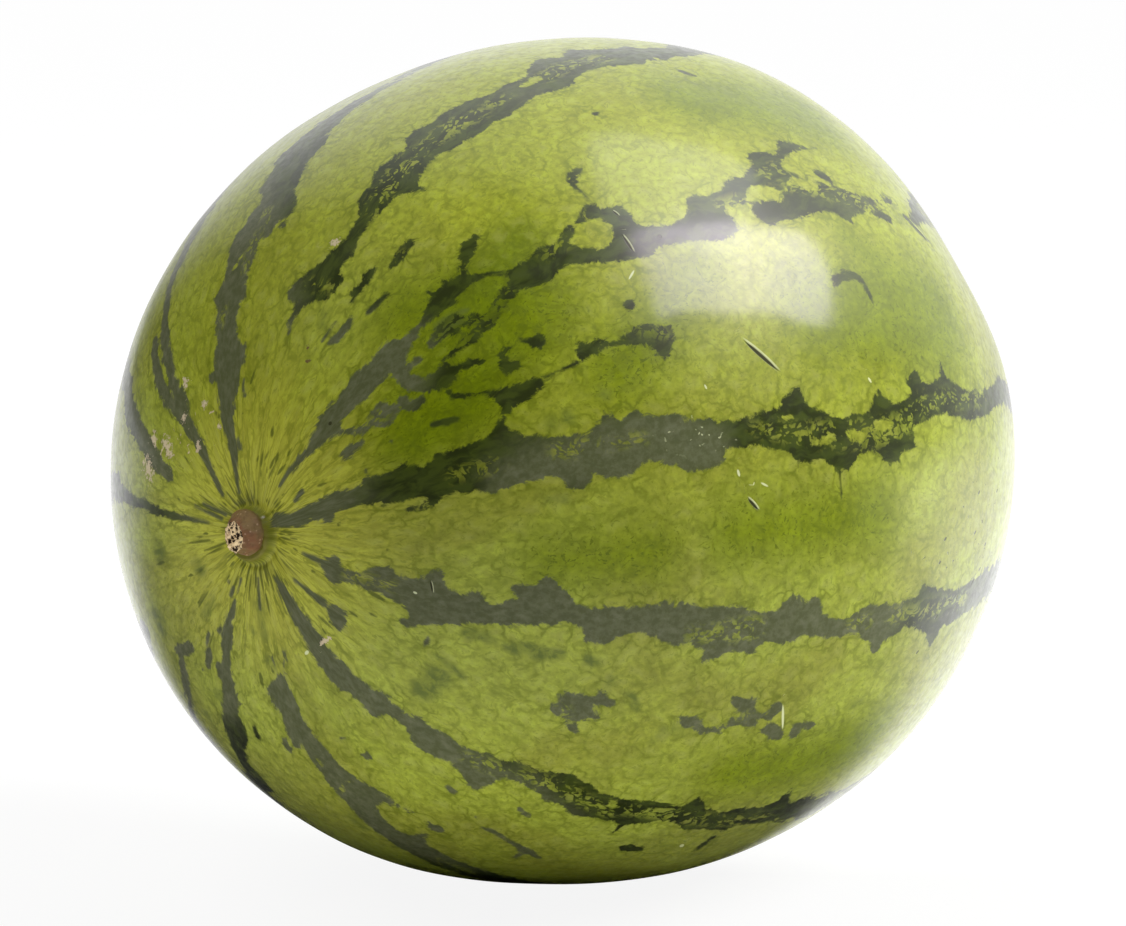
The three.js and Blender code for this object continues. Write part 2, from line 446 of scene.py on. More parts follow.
# The marks of each stripe, one stripe after another. The trails run from the stalk end to the blossom end.
STRIPES: tuple[Mark, ...] = (
    # The stripe over the top.
    dark_patch(
        (25.2, 2), (26.5, 0.3), (27.3, 0.8), (28.7, 0.7), (29.3, 0), (29.5, -1.7), (30.3, -3), (31.3, -3),
        (34.8, 1.8), (39.3, 5.3), (42, 4.7), (44.5, 2.8), (46, 2.8), (46.8, 3.5), (49.3, 2.2), (53.3, 3.8),
        (54.4, 3.5), (54.8, 0.8), (55.1, 2.6), (56.7, 2.5), (59, 4.3), (60.3, 3.8), (61.7, 4.3), (65.8, 6.8),
        (67, 7.8), (70, 7.8), (71.3, 8.3), (72.7, 8.3), (74, 7.3), (76.7, 6), (78.3, 6.2), (79.3, 6.8),
        (80, 7.7), (81.3, 7), (83.3, 5.3), (84.2, 6), (85, 7.7), (86.5, 8.6), (88, 11), (87.6, 14),
        (86.5, 15.4), (84.7, 15.3), (79.3, 13.3), (75.3, 14), (74, 14.5), (72, 14.5), (68.7, 13.2),
        (66.7, 13.5), (65, 13.3), (63.8, 13.7), (62.7, 13), (58.7, 12.3), (57.7, 11.8), (56.3, 11.8),
        (54.3, 10.3), (52, 9.8), (49.3, 10.7), (48.7, 11.7), (48.3, 13.3), (46.8, 10), (44.7, 8.7),
        (39.7, 7.8), (38, 8.7), (37, 8.7), (36, 7.7), (34.2, 8.5), (33.7, 9.7), (32.7, 10.3), (32, 10.2),
        (30.7, 9), (29.8, 9.3), (30, 6.7), (29.7, 5.3), (29, 3.3), (28.3, 2.2), (27.3, 1.7),
    ),
    pale_patch((69.7, 9.6), (71, 9.3), (73.2, 9.5), (73, 10.6), (71.5, 10.9), (70, 10.7)),
    stripe((84, 11, 3.4), (88, 12, 2.8), (95, 13, 2.2), (102, 11, 2.6), (110, 9, 3.2), (120, 10, 3),
           (130, 13, 2.6), (140, 12, 3), (150, 14, 3.2), (160, 15, 3), (170, 14, 3)),
    faint((28.6, 10.2, 0.5), (27, 11.8, 0.6)),
    netted((32, 1, 1.2), (32, 9, 1.3)),
    netted((44, 6.3, 2.6), (50, 6.6, 4), (54, 6.6, 2.4)),
    netted((55.5, 7, 2.6), (58, 7.6, 3.2), (62, 9.2, 3)),
    netted((65, 9.5, 2.4), (66.5, 10, 2)),
    netted((73, 10.6, 2.4), (77, 10.4, 2.6), (83, 11.4, 3)),
    netted((110, 9, 4), (120, 10, 5), (130, 12.5, 3)),
    # High on the front.
    stripe((7, 30, 1.4), (9, 31.2, 1.8), (11, 32.5, 1.8)),
    dark_patch(
        (9.5, 31.5), (10, 30.5), (13.5, 31.7), (14.3, 30.5), (14.8, 28.8), (15.2, 30), (16.5, 30), (17.2, 29),
        (17.7, 30), (20, 30.3), (20.4, 31.8), (21, 30.6), (25.2, 30.3), (27, 31.5), (28.5, 30.8), (29.3, 31),
        (31, 33), (34, 33.2), (37, 31), (37.4, 29.5), (37.9, 30.6), (39, 31.2), (39.4, 29.9), (39.9, 31.3),
        (41, 31.2), (41.5, 30.2), (42.1, 31), (43, 28.6), (45.5, 27.2), (46.6, 28), (45.9, 28.8),
        (43.8, 30.3), (42.8, 30.7), (42, 31.6), (41.8, 32.6), (42.4, 34.6), (40, 34.5), (39, 34.9),
        (38.2, 35.8), (36.5, 35), (32.5, 35.1), (30, 37), (28.5, 41.5), (29.3, 44), (28.4, 44.9), (27.3, 44),
        (26.8, 39.5), (27.1, 38), (26.3, 37.2), (25.7, 38), (23, 38.2), (19.4, 37.5), (18.2, 40.3),
        (20.3, 44.6), (19.1, 45.4), (16.8, 40.2), (12.6, 35.8), (9.5, 33.5),
    ),
    dark_patch(
        (19.2, 44), (20.8, 44.8), (21.4, 43.6), (23.3, 42.7), (24.3, 43.4), (24.2, 45), (25.2, 46),
        (26.4, 45.3), (27, 47.6), (28.2, 48), (28.4, 49.2), (28, 50.3), (26.6, 50.3), (25.4, 47.4),
        (24.6, 47.4), (24.1, 48.9), (22.8, 49.3), (21.8, 48.8), (21.3, 47.2), (18.7, 45.6),
    ),
    dark_patch(
        (27.3, 43.8), (28.7, 43.5), (30, 46), (30.3, 45.2), (32, 45.3), (32.4, 44.2), (33, 44.2),
        (32.7, 45.5), (33, 46.8), (36, 48.3), (36.5, 49.4), (34, 48.5), (33.2, 48.7), (32.8, 49.6),
        (31.5, 49.6), (31, 50.3), (31.3, 51.5), (33, 54), (35.3, 56), (32.3, 54.3), (31.5, 53.2),
        (30.4, 50.3), (28.7, 48),
    ),
    faint_patch(
        (34.8, 36), (37.4, 36.8), (38.8, 38), (38.9, 38.7), (37.7, 38.5), (37.8, 40.8), (36.5, 39.5),
        (34.6, 40.3), (34.3, 38.5),
    ),
    dark((42, 34.3, 0.7), (43.5, 35.2, 0.5), (45, 36.8, 0.7)),
    dark((29, 40, 0.8), (30.6, 40.2, 0.7)),
    dark_patch(
        (45.2, 39), (37.5, 42.6), (33, 44.2), (37.5, 44.8), (40.6, 43.7), (42.2, 42), (45, 41.2),
        (45.8, 41.5), (46.2, 40.2),
    ),
    dark_patch(
        (45.2, 37.6), (48, 37.5), (50, 37), (51.5, 38), (52.5, 37.8), (54, 36.8), (56, 36.5), (57, 35.8),
        (58.7, 35.3), (59.6, 37), (61.6, 37.9), (62, 38.7), (61.8, 42.5), (65, 44), (67, 44), (69, 42.8),
        (69.6, 41.3), (71, 42), (73, 42.3), (74.5, 42), (76.6, 41), (78, 41.3), (79.6, 41), (81.9, 39.2),
        (82.1, 38.5), (83, 38.3), (85.3, 38.7), (85.8, 39.3), (88, 38.3), (88.6, 37.5), (90, 37.3),
        (92, 38.3), (94.8, 38.9), (88.8, 39.2), (86.5, 40.3), (85.5, 41), (86.1, 43), (84.8, 43.8),
        (83, 44.3), (81.5, 44), (80.5, 43.3), (78.6, 43), (77, 43.8), (76.3, 45), (75.3, 44.6), (74, 44.6),
        (73, 45), (72.8, 47.5), (72.3, 48.5), (69.6, 48.7), (63.7, 46.4), (62, 46.5), (60, 47.1),
        (58.8, 46.2), (57, 45.6), (52, 42.4), (50.5, 42), (47.8, 42.7), (45.7, 41.2), (45, 39),
    ),
    pale_patch(
        (53.5, 38.7), (55.2, 37.4), (57.9, 37.3), (58.5, 38), (58.9, 39.3), (58.8, 41), (58, 42.2),
        (56, 43.3), (55.6, 42.3), (54.6, 41.4), (53.5, 39.6),
    ),
    dark((59, 35.5, 0.5), (59.2, 33, 0.4), (59.4, 31.2, 0.8), (60, 30, 1.1), (61.2, 29.5, 0.9),
         (62.5, 29, 0.4)),
    dark_patch(
        (76.4, 46.1), (77.6, 45.5), (80.3, 46), (81.3, 46.6), (82.1, 45.6), (85.7, 44.3), (86.4, 45.3),
        (87.5, 46), (88.5, 46.2), (89, 45.5), (90, 45.3), (91, 45.8), (92, 45.6), (95.3, 47.6), (97, 48.2),
        (99, 48.6), (101, 48), (102.7, 48.1), (102.4, 48.8), (99, 49.2), (97, 49), (95, 49.6), (95.3, 50.2),
        (98.5, 50.3), (99.3, 50.8), (99.5, 52), (98.6, 52.5), (97.8, 51.7), (96.5, 51), (93.5, 50.2),
        (90.8, 50.8), (90.6, 51.6), (90, 51.2), (89.3, 50.2), (88.3, 49.6), (85.5, 49), (82.4, 49.2),
        (78.4, 49.2), (76.9, 49), (76.3, 47.8),
    ),
    dark((86.2, 42.6, 0.9), (87.5, 43.8, 0.5), (89, 43.6, 0.4)),
    dark((90.8, 43.3, 1.2), (92, 44.3, 1.4)),
    dark((89.3, 44.8, 0.6), (90.5, 45.5, 0.8)),
    dark((103.8, 51.3, 0.9), (105.2, 53.3, 0.9), (106, 54.3, 0.6), (107.5, 55, 0.8)),
    stripe((106, 51.5, 0.8), (114, 48, 2.4), (124, 46, 2.8), (134, 47, 2.4), (144, 45, 2.8), (156, 46, 3),
           (170, 47, 3)),
    faint((101.5, 51.5, 2.4)),
    netted((21, 46, 1.6), (23, 46, 1.8)),
    netted((35, 44, 1.2), (40, 42.4, 1.6), (44, 40.4, 1.4)),
    netted((50.2, 38.6, 1.2), (53, 38.6, 1.6)),
    dark((33, 39.5, 1), (36.5, 38.6, 1.9), (39, 41, 1)),
    dark((36.5, 38.6, 0.6), (36, 43, 0.6)),
    netted((34, 39, 1.4), (37, 39, 2), (39, 41, 1.2)),
    netted((84, 44.4, 1.6), (90, 46.6, 2.4), (95, 48.4, 2.4)),
    netted((82, 42, 2.2), (86, 41.5, 2.2)),
    netted((73, 44.6, 2), (76, 44.4, 1.6)),
    netted((114, 48, 4), (124, 46, 5)),
    dark((70.5, 22.3, 0.9)),
    dark((89, 19.5, 0.9), (89.5, 21, 0.8)),
    dark((88, 21.8, 0.5)),
    # The thin stripe below it.
    dark_patch(
        (35, 55.8), (39, 57.6), (41, 57.7), (41.5, 58.3), (41.1, 59.2), (40, 60.1), (36.1, 61.5),
        (35.7, 62.4), (35.5, 63.5), (34.8, 65), (33.6, 65), (33.6, 64.4), (35.3, 62.2), (35.9, 60.5),
        (36, 59.6),
    ),
    dark((41.5, 58.4, 0.4), (44, 58.2, 0.5), (46.2, 57.8, 0.6)),
    dark_patch(
        (46, 57.5), (47, 55.2), (47.8, 55.3), (48.2, 56), (49.5, 56), (52, 57.2), (55.3, 56), (56, 57),
        (58.3, 58), (58.2, 59), (57.8, 60), (56.2, 62), (55.2, 61.6), (55.1, 60.6), (54.6, 59.4),
        (53.5, 58.7), (49.5, 57.5), (46.2, 58.2),
    ),
    dark_patch(
        (39, 49.7), (39.8, 49.3), (40, 50), (39, 50.6), (39.2, 52), (40, 53), (39.8, 54.2), (38.4, 54.4),
        (38.2, 51),
    ),
    dark_patch((42.2, 51), (42.6, 50.2), (43.8, 50.5), (44, 51.5), (43.2, 52.6)),
    dark_patch(
        (16.1, 47.5), (18, 47.6), (18.3, 48.8), (19.2, 49), (18.6, 50.2), (17.5, 50.3), (17.3, 51.4),
        (16, 51.3), (16.5, 49.8),
    ),
    dark((41.5, 49.6, 0.4), (43, 51, 0.4)),
    dark((54.8, 52.6, 1.2)),
    dark((27.7, 56.7, 0.5), (29, 57.5, 0.7), (30.7, 58.2, 0.6)),
    dark((7.5, 53.5, 0.5), (9, 50.5, 0.6)),
    dark((22.3, 55.2, 0.4)),
    dark((17.9, 60.5, 0.4)),
    dark((81.8, 59.2, 0.9), (83, 58.7, 1.1), (84.5, 58.6, 1.2), (86, 59, 1.2), (86.5, 60.3, 0.8),
         (87, 63.3, 0.5)),
    netted((54.5, 57, 1.2), (57, 59, 1.2)),
    faint((40.6, 67, 1.2)),
    faint((42.6, 66.6, 1.4)),
    faint((47.5, 64.5, 1.2)),
    # The middle of the front.
    stripe((3.6, 62, 14), (5.5, 69, 9), (8, 70, 6)),
    dark_patch(
        (7, 64), (12.5, 63), (16.8, 66), (17, 63.8), (18, 62.8), (19.8, 64.5), (21.7, 63.8), (22.3, 62.7),
        (23.7, 65.3), (26.4, 66.2), (26.8, 64.9), (27.6, 66), (28.4, 65.2), (33, 64.9), (34.8, 63),
        (35.4, 62), (35.7, 62.5), (35.4, 63.6), (36.8, 67.3), (41.3, 69.6), (44.2, 70.4), (45.3, 69.8),
        (46.7, 68), (47.5, 68.4), (47.9, 69.6), (50.2, 69.2), (51.3, 70.3), (54.7, 71), (56.4, 72.8),
        (58.5, 72.8), (59.4, 73.5), (61.5, 74), (64, 74.1), (65, 73.7), (67, 73.8), (68, 73.3), (68.8, 72.5),
        (69.8, 72.4), (70.3, 71.8), (71, 71.6), (71.3, 73.2), (72.6, 74.7), (73.4, 74.7), (73.8, 75.5),
        (74.7, 75.8), (75.1, 76.5), (79, 76.9), (80.6, 76.8), (81.4, 76.3), (82.6, 74.5), (83.2, 74),
        (83.2, 75), (84.4, 76), (85.8, 76.4), (87.5, 76.3), (88.6, 75.7), (88.8, 74.9), (88.3, 73.8),
        (89.2, 73.2), (90.4, 72.7), (91.8, 74.3), (94.6, 74.5), (95.5, 74.3), (96.4, 72), (97, 74.5),
        (101, 76.4), (102.9, 77), (104, 76.9), (105.4, 77.6), (108, 77.4), (108, 80.2), (105, 80.4),
        (101, 80.3), (95, 78.8), (91, 79.1), (88.3, 80), (87.8, 81), (87.6, 82.3), (85.2, 82.4), (84.6, 83.3),
        (83.8, 83.6), (82.5, 83.1), (80.3, 81.8), (79, 81.7), (77.8, 82), (77, 82.7), (75, 83.2),
        (72.3, 81.3), (69, 81.3), (68.5, 80.4), (66.8, 78.8), (61.2, 77.3), (59.9, 77.7), (58.8, 79.5),
        (57, 79.9), (55, 79.5), (53.3, 78.3), (52.4, 78.5), (51.8, 77.8), (50.2, 77.4), (49, 77.7),
        (48.2, 78.8), (45.3, 78.7), (44.3, 77.4), (43.5, 77.4), (43.3, 78.6), (42.6, 79.5), (41, 79.5),
        (39.8, 77.4), (38.5, 76.4), (32.5, 77.4), (27.3, 76), (24.3, 79), (22.7, 79), (21.7, 78.3),
        (21.8, 77.5), (23.3, 77.3), (23.9, 76.3), (23.6, 75.3), (20.7, 74.4), (19.2, 75), (15.3, 71.8),
        (14.6, 73.2), (12.4, 72.6), (11.3, 78), (7.5, 72.5), (7, 70),
    ),
    pale((71.5, 79, 0.9), (73.6, 79, 1.1), (74.6, 78.8, 0.6)),
    pale((76.9, 78.6, 1.2), (78, 79.3, 1.7), (79.2, 79.6, 1.1)),
    pale((81.6, 78.5, 1.1), (82.8, 78.6, 1.5), (84.2, 78.6, 0.9)),
    pale((81.3, 80.2, 0.6)),
    pale((67.8, 74.9, 0.5), (69.3, 74.9, 0.5)),
    pale((70.2, 76.2, 0.5)),
    pale((71.5, 76.4, 0.5)),
    dark((68.8, 81, 0.5), (68.7, 83.2, 0.3)),
    dark((74.8, 83, 0.6), (74.8, 87, 0.3)),
    faint((38.5, 81, 0.8), (40, 81, 0.8)),
    stripe((105, 79, 1.4), (110, 78.4, 1.4), (116, 78, 1.6), (124, 80, 2.2), (134, 78, 2.8), (146, 77, 2.4),
           (158, 79, 2.8), (170, 78, 3)),
    netted((28, 71.4, 1.6), (33, 71.6, 1.6)),
    netted((40.5, 72, 2), (44, 72.6, 1.8)),
    netted((46, 72.8, 1.2), (50, 73.4, 1.4)),
    netted((64, 75.6, 1.4), (70, 77.6, 2.6), (78, 79, 3.4), (85, 79.4, 3.2), (92, 77, 2.4),
           (106, 78.4, 1.8)),
    netted((134, 78, 5)),
    Stroke(Ink.SPECKED, ((54, 73.5, 2.5), (59, 75, 3), (63, 75.5, 2))),
    # Low on the front.
    stripe((7.5, 106, 1.6), (10.5, 107, 2.4)),
    dark_patch(
        (10, 109), (10.3, 105), (11.3, 103), (11.7, 100.4), (12.6, 100.6), (12.9, 106), (15.8, 105),
        (16.9, 101.8), (18.3, 100), (19.3, 99.8), (20.4, 102), (23.8, 100.4), (24.4, 98.9), (25.7, 98.3),
        (25.7, 99.8), (26.3, 100.8), (26.4, 102.3), (28.3, 102.8), (30.3, 101.9), (31.4, 104.1),
        (32.5, 103.8), (34.8, 102.4), (34.8, 101), (34.1, 100), (34.1, 99), (36.7, 99), (37.2, 97.7),
        (37.8, 96.9), (38.6, 97.4), (39, 98.5), (40.2, 98.8), (41.2, 101.2), (42, 101.9), (44.5, 102.3),
        (45.7, 101.6), (47.5, 101.6), (50.5, 101), (51.6, 100.7), (52.2, 99.5), (52.8, 100.8), (53.7, 101.3),
        (54.1, 100.3), (55.5, 100.1), (56.3, 100.8), (57.8, 101.1), (61.3, 100.9), (64.3, 102), (66, 101.9),
        (68, 100.3), (68.5, 99.6), (69.5, 99.8), (69.6, 101), (70.1, 101.9), (70.5, 100.7), (72.2, 100),
        (72.8, 101.2), (73, 102.3), (73.8, 103), (77, 103.7), (80.7, 102.1), (85.3, 102.8), (89.8, 102.1),
        (90.2, 101.2), (91.2, 101), (94, 102.1), (97.3, 103), (99, 103.3), (104, 103.3), (104, 107.4),
        (100, 108.2), (98.3, 107.9), (97, 108.3), (95.7, 110.7), (93.5, 108.3), (88.8, 106), (87.3, 106.4),
        (85, 107.6), (84.3, 108.2), (83.9, 109), (82.9, 108.7), (82.8, 107.6), (80.8, 106.7), (80.1, 106),
        (76.6, 106.1), (71.4, 105.6), (69.7, 106.4), (66.3, 106.2), (65.4, 106.8), (64.9, 107.6), (63.8, 108),
        (62.6, 107.5), (61.3, 107.8), (60.3, 108.8), (59.3, 109), (58.7, 109.7), (58.3, 109.2), (58.1, 108),
        (56.1, 106.9), (54, 107), (50, 105.7), (47.9, 106.4), (46.4, 108), (45.1, 108.3), (43.8, 108),
        (42.8, 106), (40.8, 105.3), (40.1, 106), (34.8, 108), (30, 110), (29.2, 110.7), (28.7, 112),
        (26.3, 113.3), (23, 118.2), (21.8, 116.8), (22.7, 115.8), (23, 114.7), (21.3, 110.8), (14.4, 111.5),
        (12.4, 115.6),
    ),
    faint_patch(
        (29.6, 112), (32.6, 111.6), (33.6, 112.8), (33, 114), (31.6, 113.8), (30.6, 114.7), (29.5, 114),
    ),
    faint_patch(
        (36, 111.3), (41.3, 111), (41.8, 111.8), (41.7, 112.7), (40.8, 113.5), (39.7, 113.7), (39.2, 114.5),
        (37.3, 113.7), (36.7, 114.5), (35, 114.3), (34.7, 113), (35.5, 112.3),
    ),
    faint_patch((44, 111.2), (45.7, 111), (46.2, 112), (45.8, 113), (44.8, 113.2)),
    dark_patch(
        (64.4, 115), (66, 115.2), (67.3, 115), (67.6, 116.3), (68.3, 117.2), (70, 117.4), (70.2, 116.2),
        (71.4, 115.8), (71.6, 117), (71, 118.3), (69.7, 118.2), (69, 119), (69.3, 120), (66.8, 119.5),
        (65.5, 119.9), (65.2, 119), (66.2, 118.2), (66.3, 117.4), (64.5, 116.1),
    ),
    dark_patch(
        (58.8, 119.6), (60.3, 119), (61.7, 119.4), (61.9, 120.6), (63, 120.7), (65, 120), (65, 120.6),
        (63.3, 121.3), (62, 121.5), (61, 120.7), (59.2, 120.7),
    ),
    dark_patch(
        (70.7, 119.3), (72.3, 119.3), (73.2, 120), (73.8, 121), (73.3, 121.7), (72.4, 121.9), (70.8, 120.5),
    ),
    dark_patch(
        (74.8, 119.7), (75.9, 119.1), (78, 119.3), (78.3, 119.8), (76.7, 119.9), (76.1, 120.6), (76.2, 121.6),
        (75.2, 121.4),
    ),
    dark_patch(
        (44, 119.3), (47, 119.2), (47.5, 119.7), (47.3, 120.7), (48.7, 122), (48.5, 122.8), (47.7, 123),
        (47.3, 123.8), (46.7, 124.3), (44, 124.3), (43.2, 123.7), (43, 122.7), (43.7, 121.3), (43, 120.7),
        (44, 120.3),
    ),
    dark_patch((45.7, 125.3), (46.7, 125), (47.8, 126.3), (47, 126.7), (46, 126.2)),
    dark_patch((47.5, 119), (47.8, 116.8), (48.7, 118.7), (49.7, 118.8), (49.3, 119.5), (47.2, 119.8)),
    faint_patch((50.3, 116.7), (52, 116.7), (53.3, 119.4), (52, 119.2), (51.8, 118)),
    faint_patch((27.7, 123), (28.7, 122), (30, 122.3), (32.3, 124.3), (31.8, 125.2)),
    faint((48.5, 114.5, 0.5), (48, 116.5, 0.6)),
    faint((57.5, 121.8, 0.5), (58.8, 121.6, 0.6), (60, 121.2, 0.6)),
    faint((57.2, 122, 0.4), (57.2, 124, 0.4)),
    faint((83, 116.8, 0.8), (84.5, 116.8, 0.8)),
    dark((26.1, 119, 0.6), (26.1, 120.4, 0.6)),
    faint((29.4, 128, 3), (29, 133, 3.2)),
    netted((14, 107, 1.2), (20, 106, 1)),
    netted((56, 105.5, 1.6), (59, 105, 2.4), (64, 104, 3)),
    netted((78.5, 104.4, 1.8), (81, 104.6, 1.8)),
    netted((85, 104.2, 1.8), (95, 104.8, 2), (102, 105.4, 2)),
    netted((43.6, 121.6, 1.6), (44.8, 123.6, 1.6)),
    netted((67, 118, 1.6)),
    netted((150, 107, 5)),
    stripe((101, 105.4, 1.8), (105, 105.5, 2.2), (112, 106, 2.4), (122, 107, 2), (134, 106, 2.6),
           (148, 107, 2.2),
           (160, 106, 2.8), (170, 106, 3)),
    dark((14.7, 128.6, 1.2), (15.2, 131, 1.9), (15.6, 133.6, 1.6), (16.4, 135.2, 0.6)),
    dark((8, 135, 0.3), (10, 132, 0.5), (13, 130, 0.8)),
    # Where the front turns under.
    dark_patch(
        (6.3, 155.3), (9.3, 147), (18.3, 145.7), (24.7, 144.8), (25.4, 144.2), (25.7, 142.8), (29.3, 142.8),
        (31, 141.2), (32.3, 141.5), (38.7, 140.6), (40.3, 139.2), (43, 138.3), (44, 137.2), (47, 137.3),
        (50.7, 135.5), (54.3, 136.2), (55.5, 137), (61.3, 136.3), (62.7, 135.6), (64, 135.5), (66, 136),
        (67.3, 135.7), (68.4, 133), (69, 134.3), (70, 135.2), (72, 135.8), (74.3, 136), (76, 135.2),
        (77.3, 135.2), (79.3, 134.8), (80.7, 134.3), (81.3, 133), (81.5, 131.7), (82.3, 132.3), (83.7, 134.7),
        (86, 135), (89, 136.4), (88.5, 138.4), (86, 139), (78.5, 139.3), (77.7, 143), (77.5, 146),
        (76.8, 144.7), (77, 142), (76.8, 140.3), (72.7, 140.5), (70.3, 140.3), (69.7, 139.7), (66, 139.3),
        (65.2, 140.3), (62.7, 141.7), (62.2, 144.3), (61.5, 141.8), (57.7, 142.2), (56.7, 143), (55.3, 143.4),
        (53.3, 142.2), (50.7, 142.3), (49.7, 141.7), (46, 141.6), (44, 143.7), (43.5, 148.3), (39, 146.3),
        (33.7, 148.3), (31.3, 146.3), (28, 147), (27.3, 147.7), (28, 150.8), (23.7, 151.5), (22, 154.7),
        (12.7, 156.3),
    ),
    pale_patch((57.4, 138), (58.2, 137.6), (59.4, 138.4), (59.3, 139.3), (58.4, 139.2)),
    stripe((86, 137, 2.2), (90, 137.5, 2.4), (98, 139, 2.6), (108, 137, 2.6), (120, 136, 2.2),
           (134, 138, 2.8),
           (148, 137, 2.6), (160, 136, 3), (170, 136, 3)),
    dark((49.8, 147.2, 0.7), (51.4, 147.8, 0.8)),
    dark((66, 147.4, 0.8), (67, 147.4, 1.5), (68.8, 147, 1.1)),
    dark((71.4, 147.4, 0.6)),
    netted((39, 142.6, 1.4), (42, 141.4, 2.2), (44, 140.8, 1.2)),
    netted((46, 139, 1.8), (51, 138.8, 2.8), (55, 139.6, 2.2), (59, 140, 2.4)),
    netted((61, 138.6, 2), (65, 137.8, 2.6), (70, 137.8, 2.8), (76, 138.2, 2.6), (82, 137.4, 2.2)),
    netted((98, 138.8, 3), (130, 137, 4)),
    # The underside.
    stripe((6, 180, 1.2), (10, 180.4, 1.0)),
    dark_patch(
        (15.7, 170.3), (19, 174.2), (24.7, 174.3), (31.5, 172.5), (36, 169.7), (39, 166), (42, 165),
        (47.3, 162.5), (48.2, 163.2), (48, 164.2), (47, 164.7), (45.3, 163.7), (44, 164.2), (41.7, 165.7),
        (41.3, 167), (40.8, 168), (40.7, 169), (41, 170.7), (42, 171.5), (47, 172), (47.7, 171.3),
        (48.2, 170), (48.3, 167), (48.8, 167), (49.2, 168.3), (51.7, 169.7), (58, 169.5), (58, 174.4),
        (55, 175.4), (50.3, 176.3), (43.7, 177.3), (37.3, 178.2), (29.3, 179.5), (30.7, 180.3), (30.8, 181.7),
        (30, 182.7), (25, 182.3), (24.3, 184), (23.3, 181.3), (23.2, 182.7), (21.8, 185.8), (19.2, 178.3),
        (16.3, 178), (18.7, 177.5), (18.7, 174.7),
    ),
    pale_patch((31.3, 176.5), (32.6, 176.2), (34.2, 177.1), (33, 177.8), (31.4, 177.8)),
    pale((36.2, 171.4, 0.4), (36.6, 173.2, 0.4)),
    pale((37.4, 175.3, 0.4), (38.2, 176.6, 0.4)),
    pale((39, 170.2, 0.5)),
    stripe((55, 172.3, 2.6), (60, 172, 3), (68, 171, 2.6), (78, 173, 3), (88, 171, 2.6), (98, 172, 3.2),
           (110, 170, 2.6), (124, 172, 2.6), (138, 171, 2.8), (152, 172, 2.6), (166, 170, 3)),
    dark((32.5, 161.8, 1.1)),
    dark((29.2, 164.4, 0.4), (29, 165.6, 0.4)),
    dark((41.2, 152, 0.7), (42.2, 152.1, 0.7)),
    dark((29.9, 185, 1), (31.4, 185, 1)),
    dark((29.6, 195.1, 0.8), (31.2, 194.8, 0.9)),
    dark((47.7, 154.5, 0.7)),
    faint((43.6, 179.8, 0.8), (46.6, 179.2, 0.8)),
    dark((49.8, 156.2, 0.4), (51.2, 155.6, 0.8), (54, 155.8, 0.6), (57.4, 156.2, 1), (60, 156.8, 0.6)),
    dark((57.4, 157, 0.8), (58.2, 159.6, 0.5)),
    faint((9.8, 181, 1.6), (13.5, 180.4, 1)),
    faint((17.6, 178.8, 0.8), (17.2, 181, 0.7)),
    faint((13.4, 187.4, 0.8)),
    netted((56, 172.4, 2), (62, 172, 3)),
    netted((100, 171, 5)),
    # Where the underside turns up at the back.
    stripe((7, 204, 1.6), (9, 204, 1.2)),
    dark((10.4, 204, 0.6), (12.6, 204.2, 1)),
    dark_patch(
        (12.2, 204.7), (15.7, 201.5), (16.1, 198), (16.2, 200.6), (17.3, 201.5), (20.3, 201.7), (25.3, 199.5),
        (26, 197.3), (27, 199.7), (28.7, 200.5), (32.3, 199.2), (39.3, 202.8), (41, 202), (43, 200.2),
        (46, 199.8), (48, 203), (46, 205.4), (32.7, 206.7), (24.7, 205.3), (24.2, 207), (22.7, 207.3),
        (22.3, 209), (20.3, 205.7), (14.7, 208.3), (12, 205.7),
    ),
    faint_patch((26, 206), (28.3, 206), (28.5, 207.6), (28.1, 209), (27, 209.2)),
    stripe((44, 203, 2), (48, 205, 2.2), (58, 203, 3), (70, 205, 3.2), (84, 202, 2.6), (98, 204, 3.2),
           (112, 206, 2.6), (126, 203, 3), (140, 205, 2.6), (156, 204, 3), (170, 205, 3)),
    dark((8.8, 208.6, 0.5), (10, 208.8, 0.5)),
    dark((15.8, 209, 0.6), (16.2, 210, 0.6)),
    dark((20.6, 213, 0.7), (22, 212.6, 1.1), (23.6, 212.2, 0.9)),
    dark((17.8, 214.9, 0.4), (20, 214.6, 0.5)),
    dark((25.4, 214.5, 0.4)),
    dark((8.6, 214.8, 0.4), (8.6, 216.2, 0.4)),
    faint((35, 213, 1.4)),
    faint((13, 220.4, 0.9), (16, 220.2, 0.9)),
    netted((44, 203, 2)),
    netted((80, 203, 5), (84, 203, 5)),
    netted((130, 204, 5)),
    # Low on the back.
    dark((23.6, 221.4, 1.2), (28, 226, 1.5)),
    dark((28, 224, 1.4), (30, 222, 1.6), (34, 220.5, 1.4), (38, 220, 1.6)),
    faint((28, 236, 4)),
    faint((12, 240, 2)),
    faint((20, 255.2, 3)),
    # The middle of the back.
    stripe((8, -88, 1), (15, -89, 1.6), (25, -88.6, 1.4), (30, -89, 1.8), (35, -88, 2.6), (44, -92, 2.4),
           (54, -95, 3), (66, -96, 3.4), (80, -93, 2.6), (94, -96, 3.4), (108, -99, 2.8), (122, -96, 3.2),
           (138, -98, 2.6), (154, -96, 3), (170, -97, 3)),
    dark((6, -80, 0.4), (11, -79, 0.4)),
    dark((5.5, -74, 0.4), (9.5, -74.5, 0.5)),
    netted((64, -96, 4), (72, -96, 5)),
    netted((118, -97, 4)),
    # High on the back.
    stripe((17, -72, 2), (18.5, -71.5, 2.6), (22, -70.8, 3), (27, -69.4, 3), (32, -69, 3), (36.5, -67, 2.6),
           (45, -68, 2.2), (56, -66, 3), (70, -69, 2.6), (84, -66, 3.2), (98, -67, 2.4), (112, -69, 3),
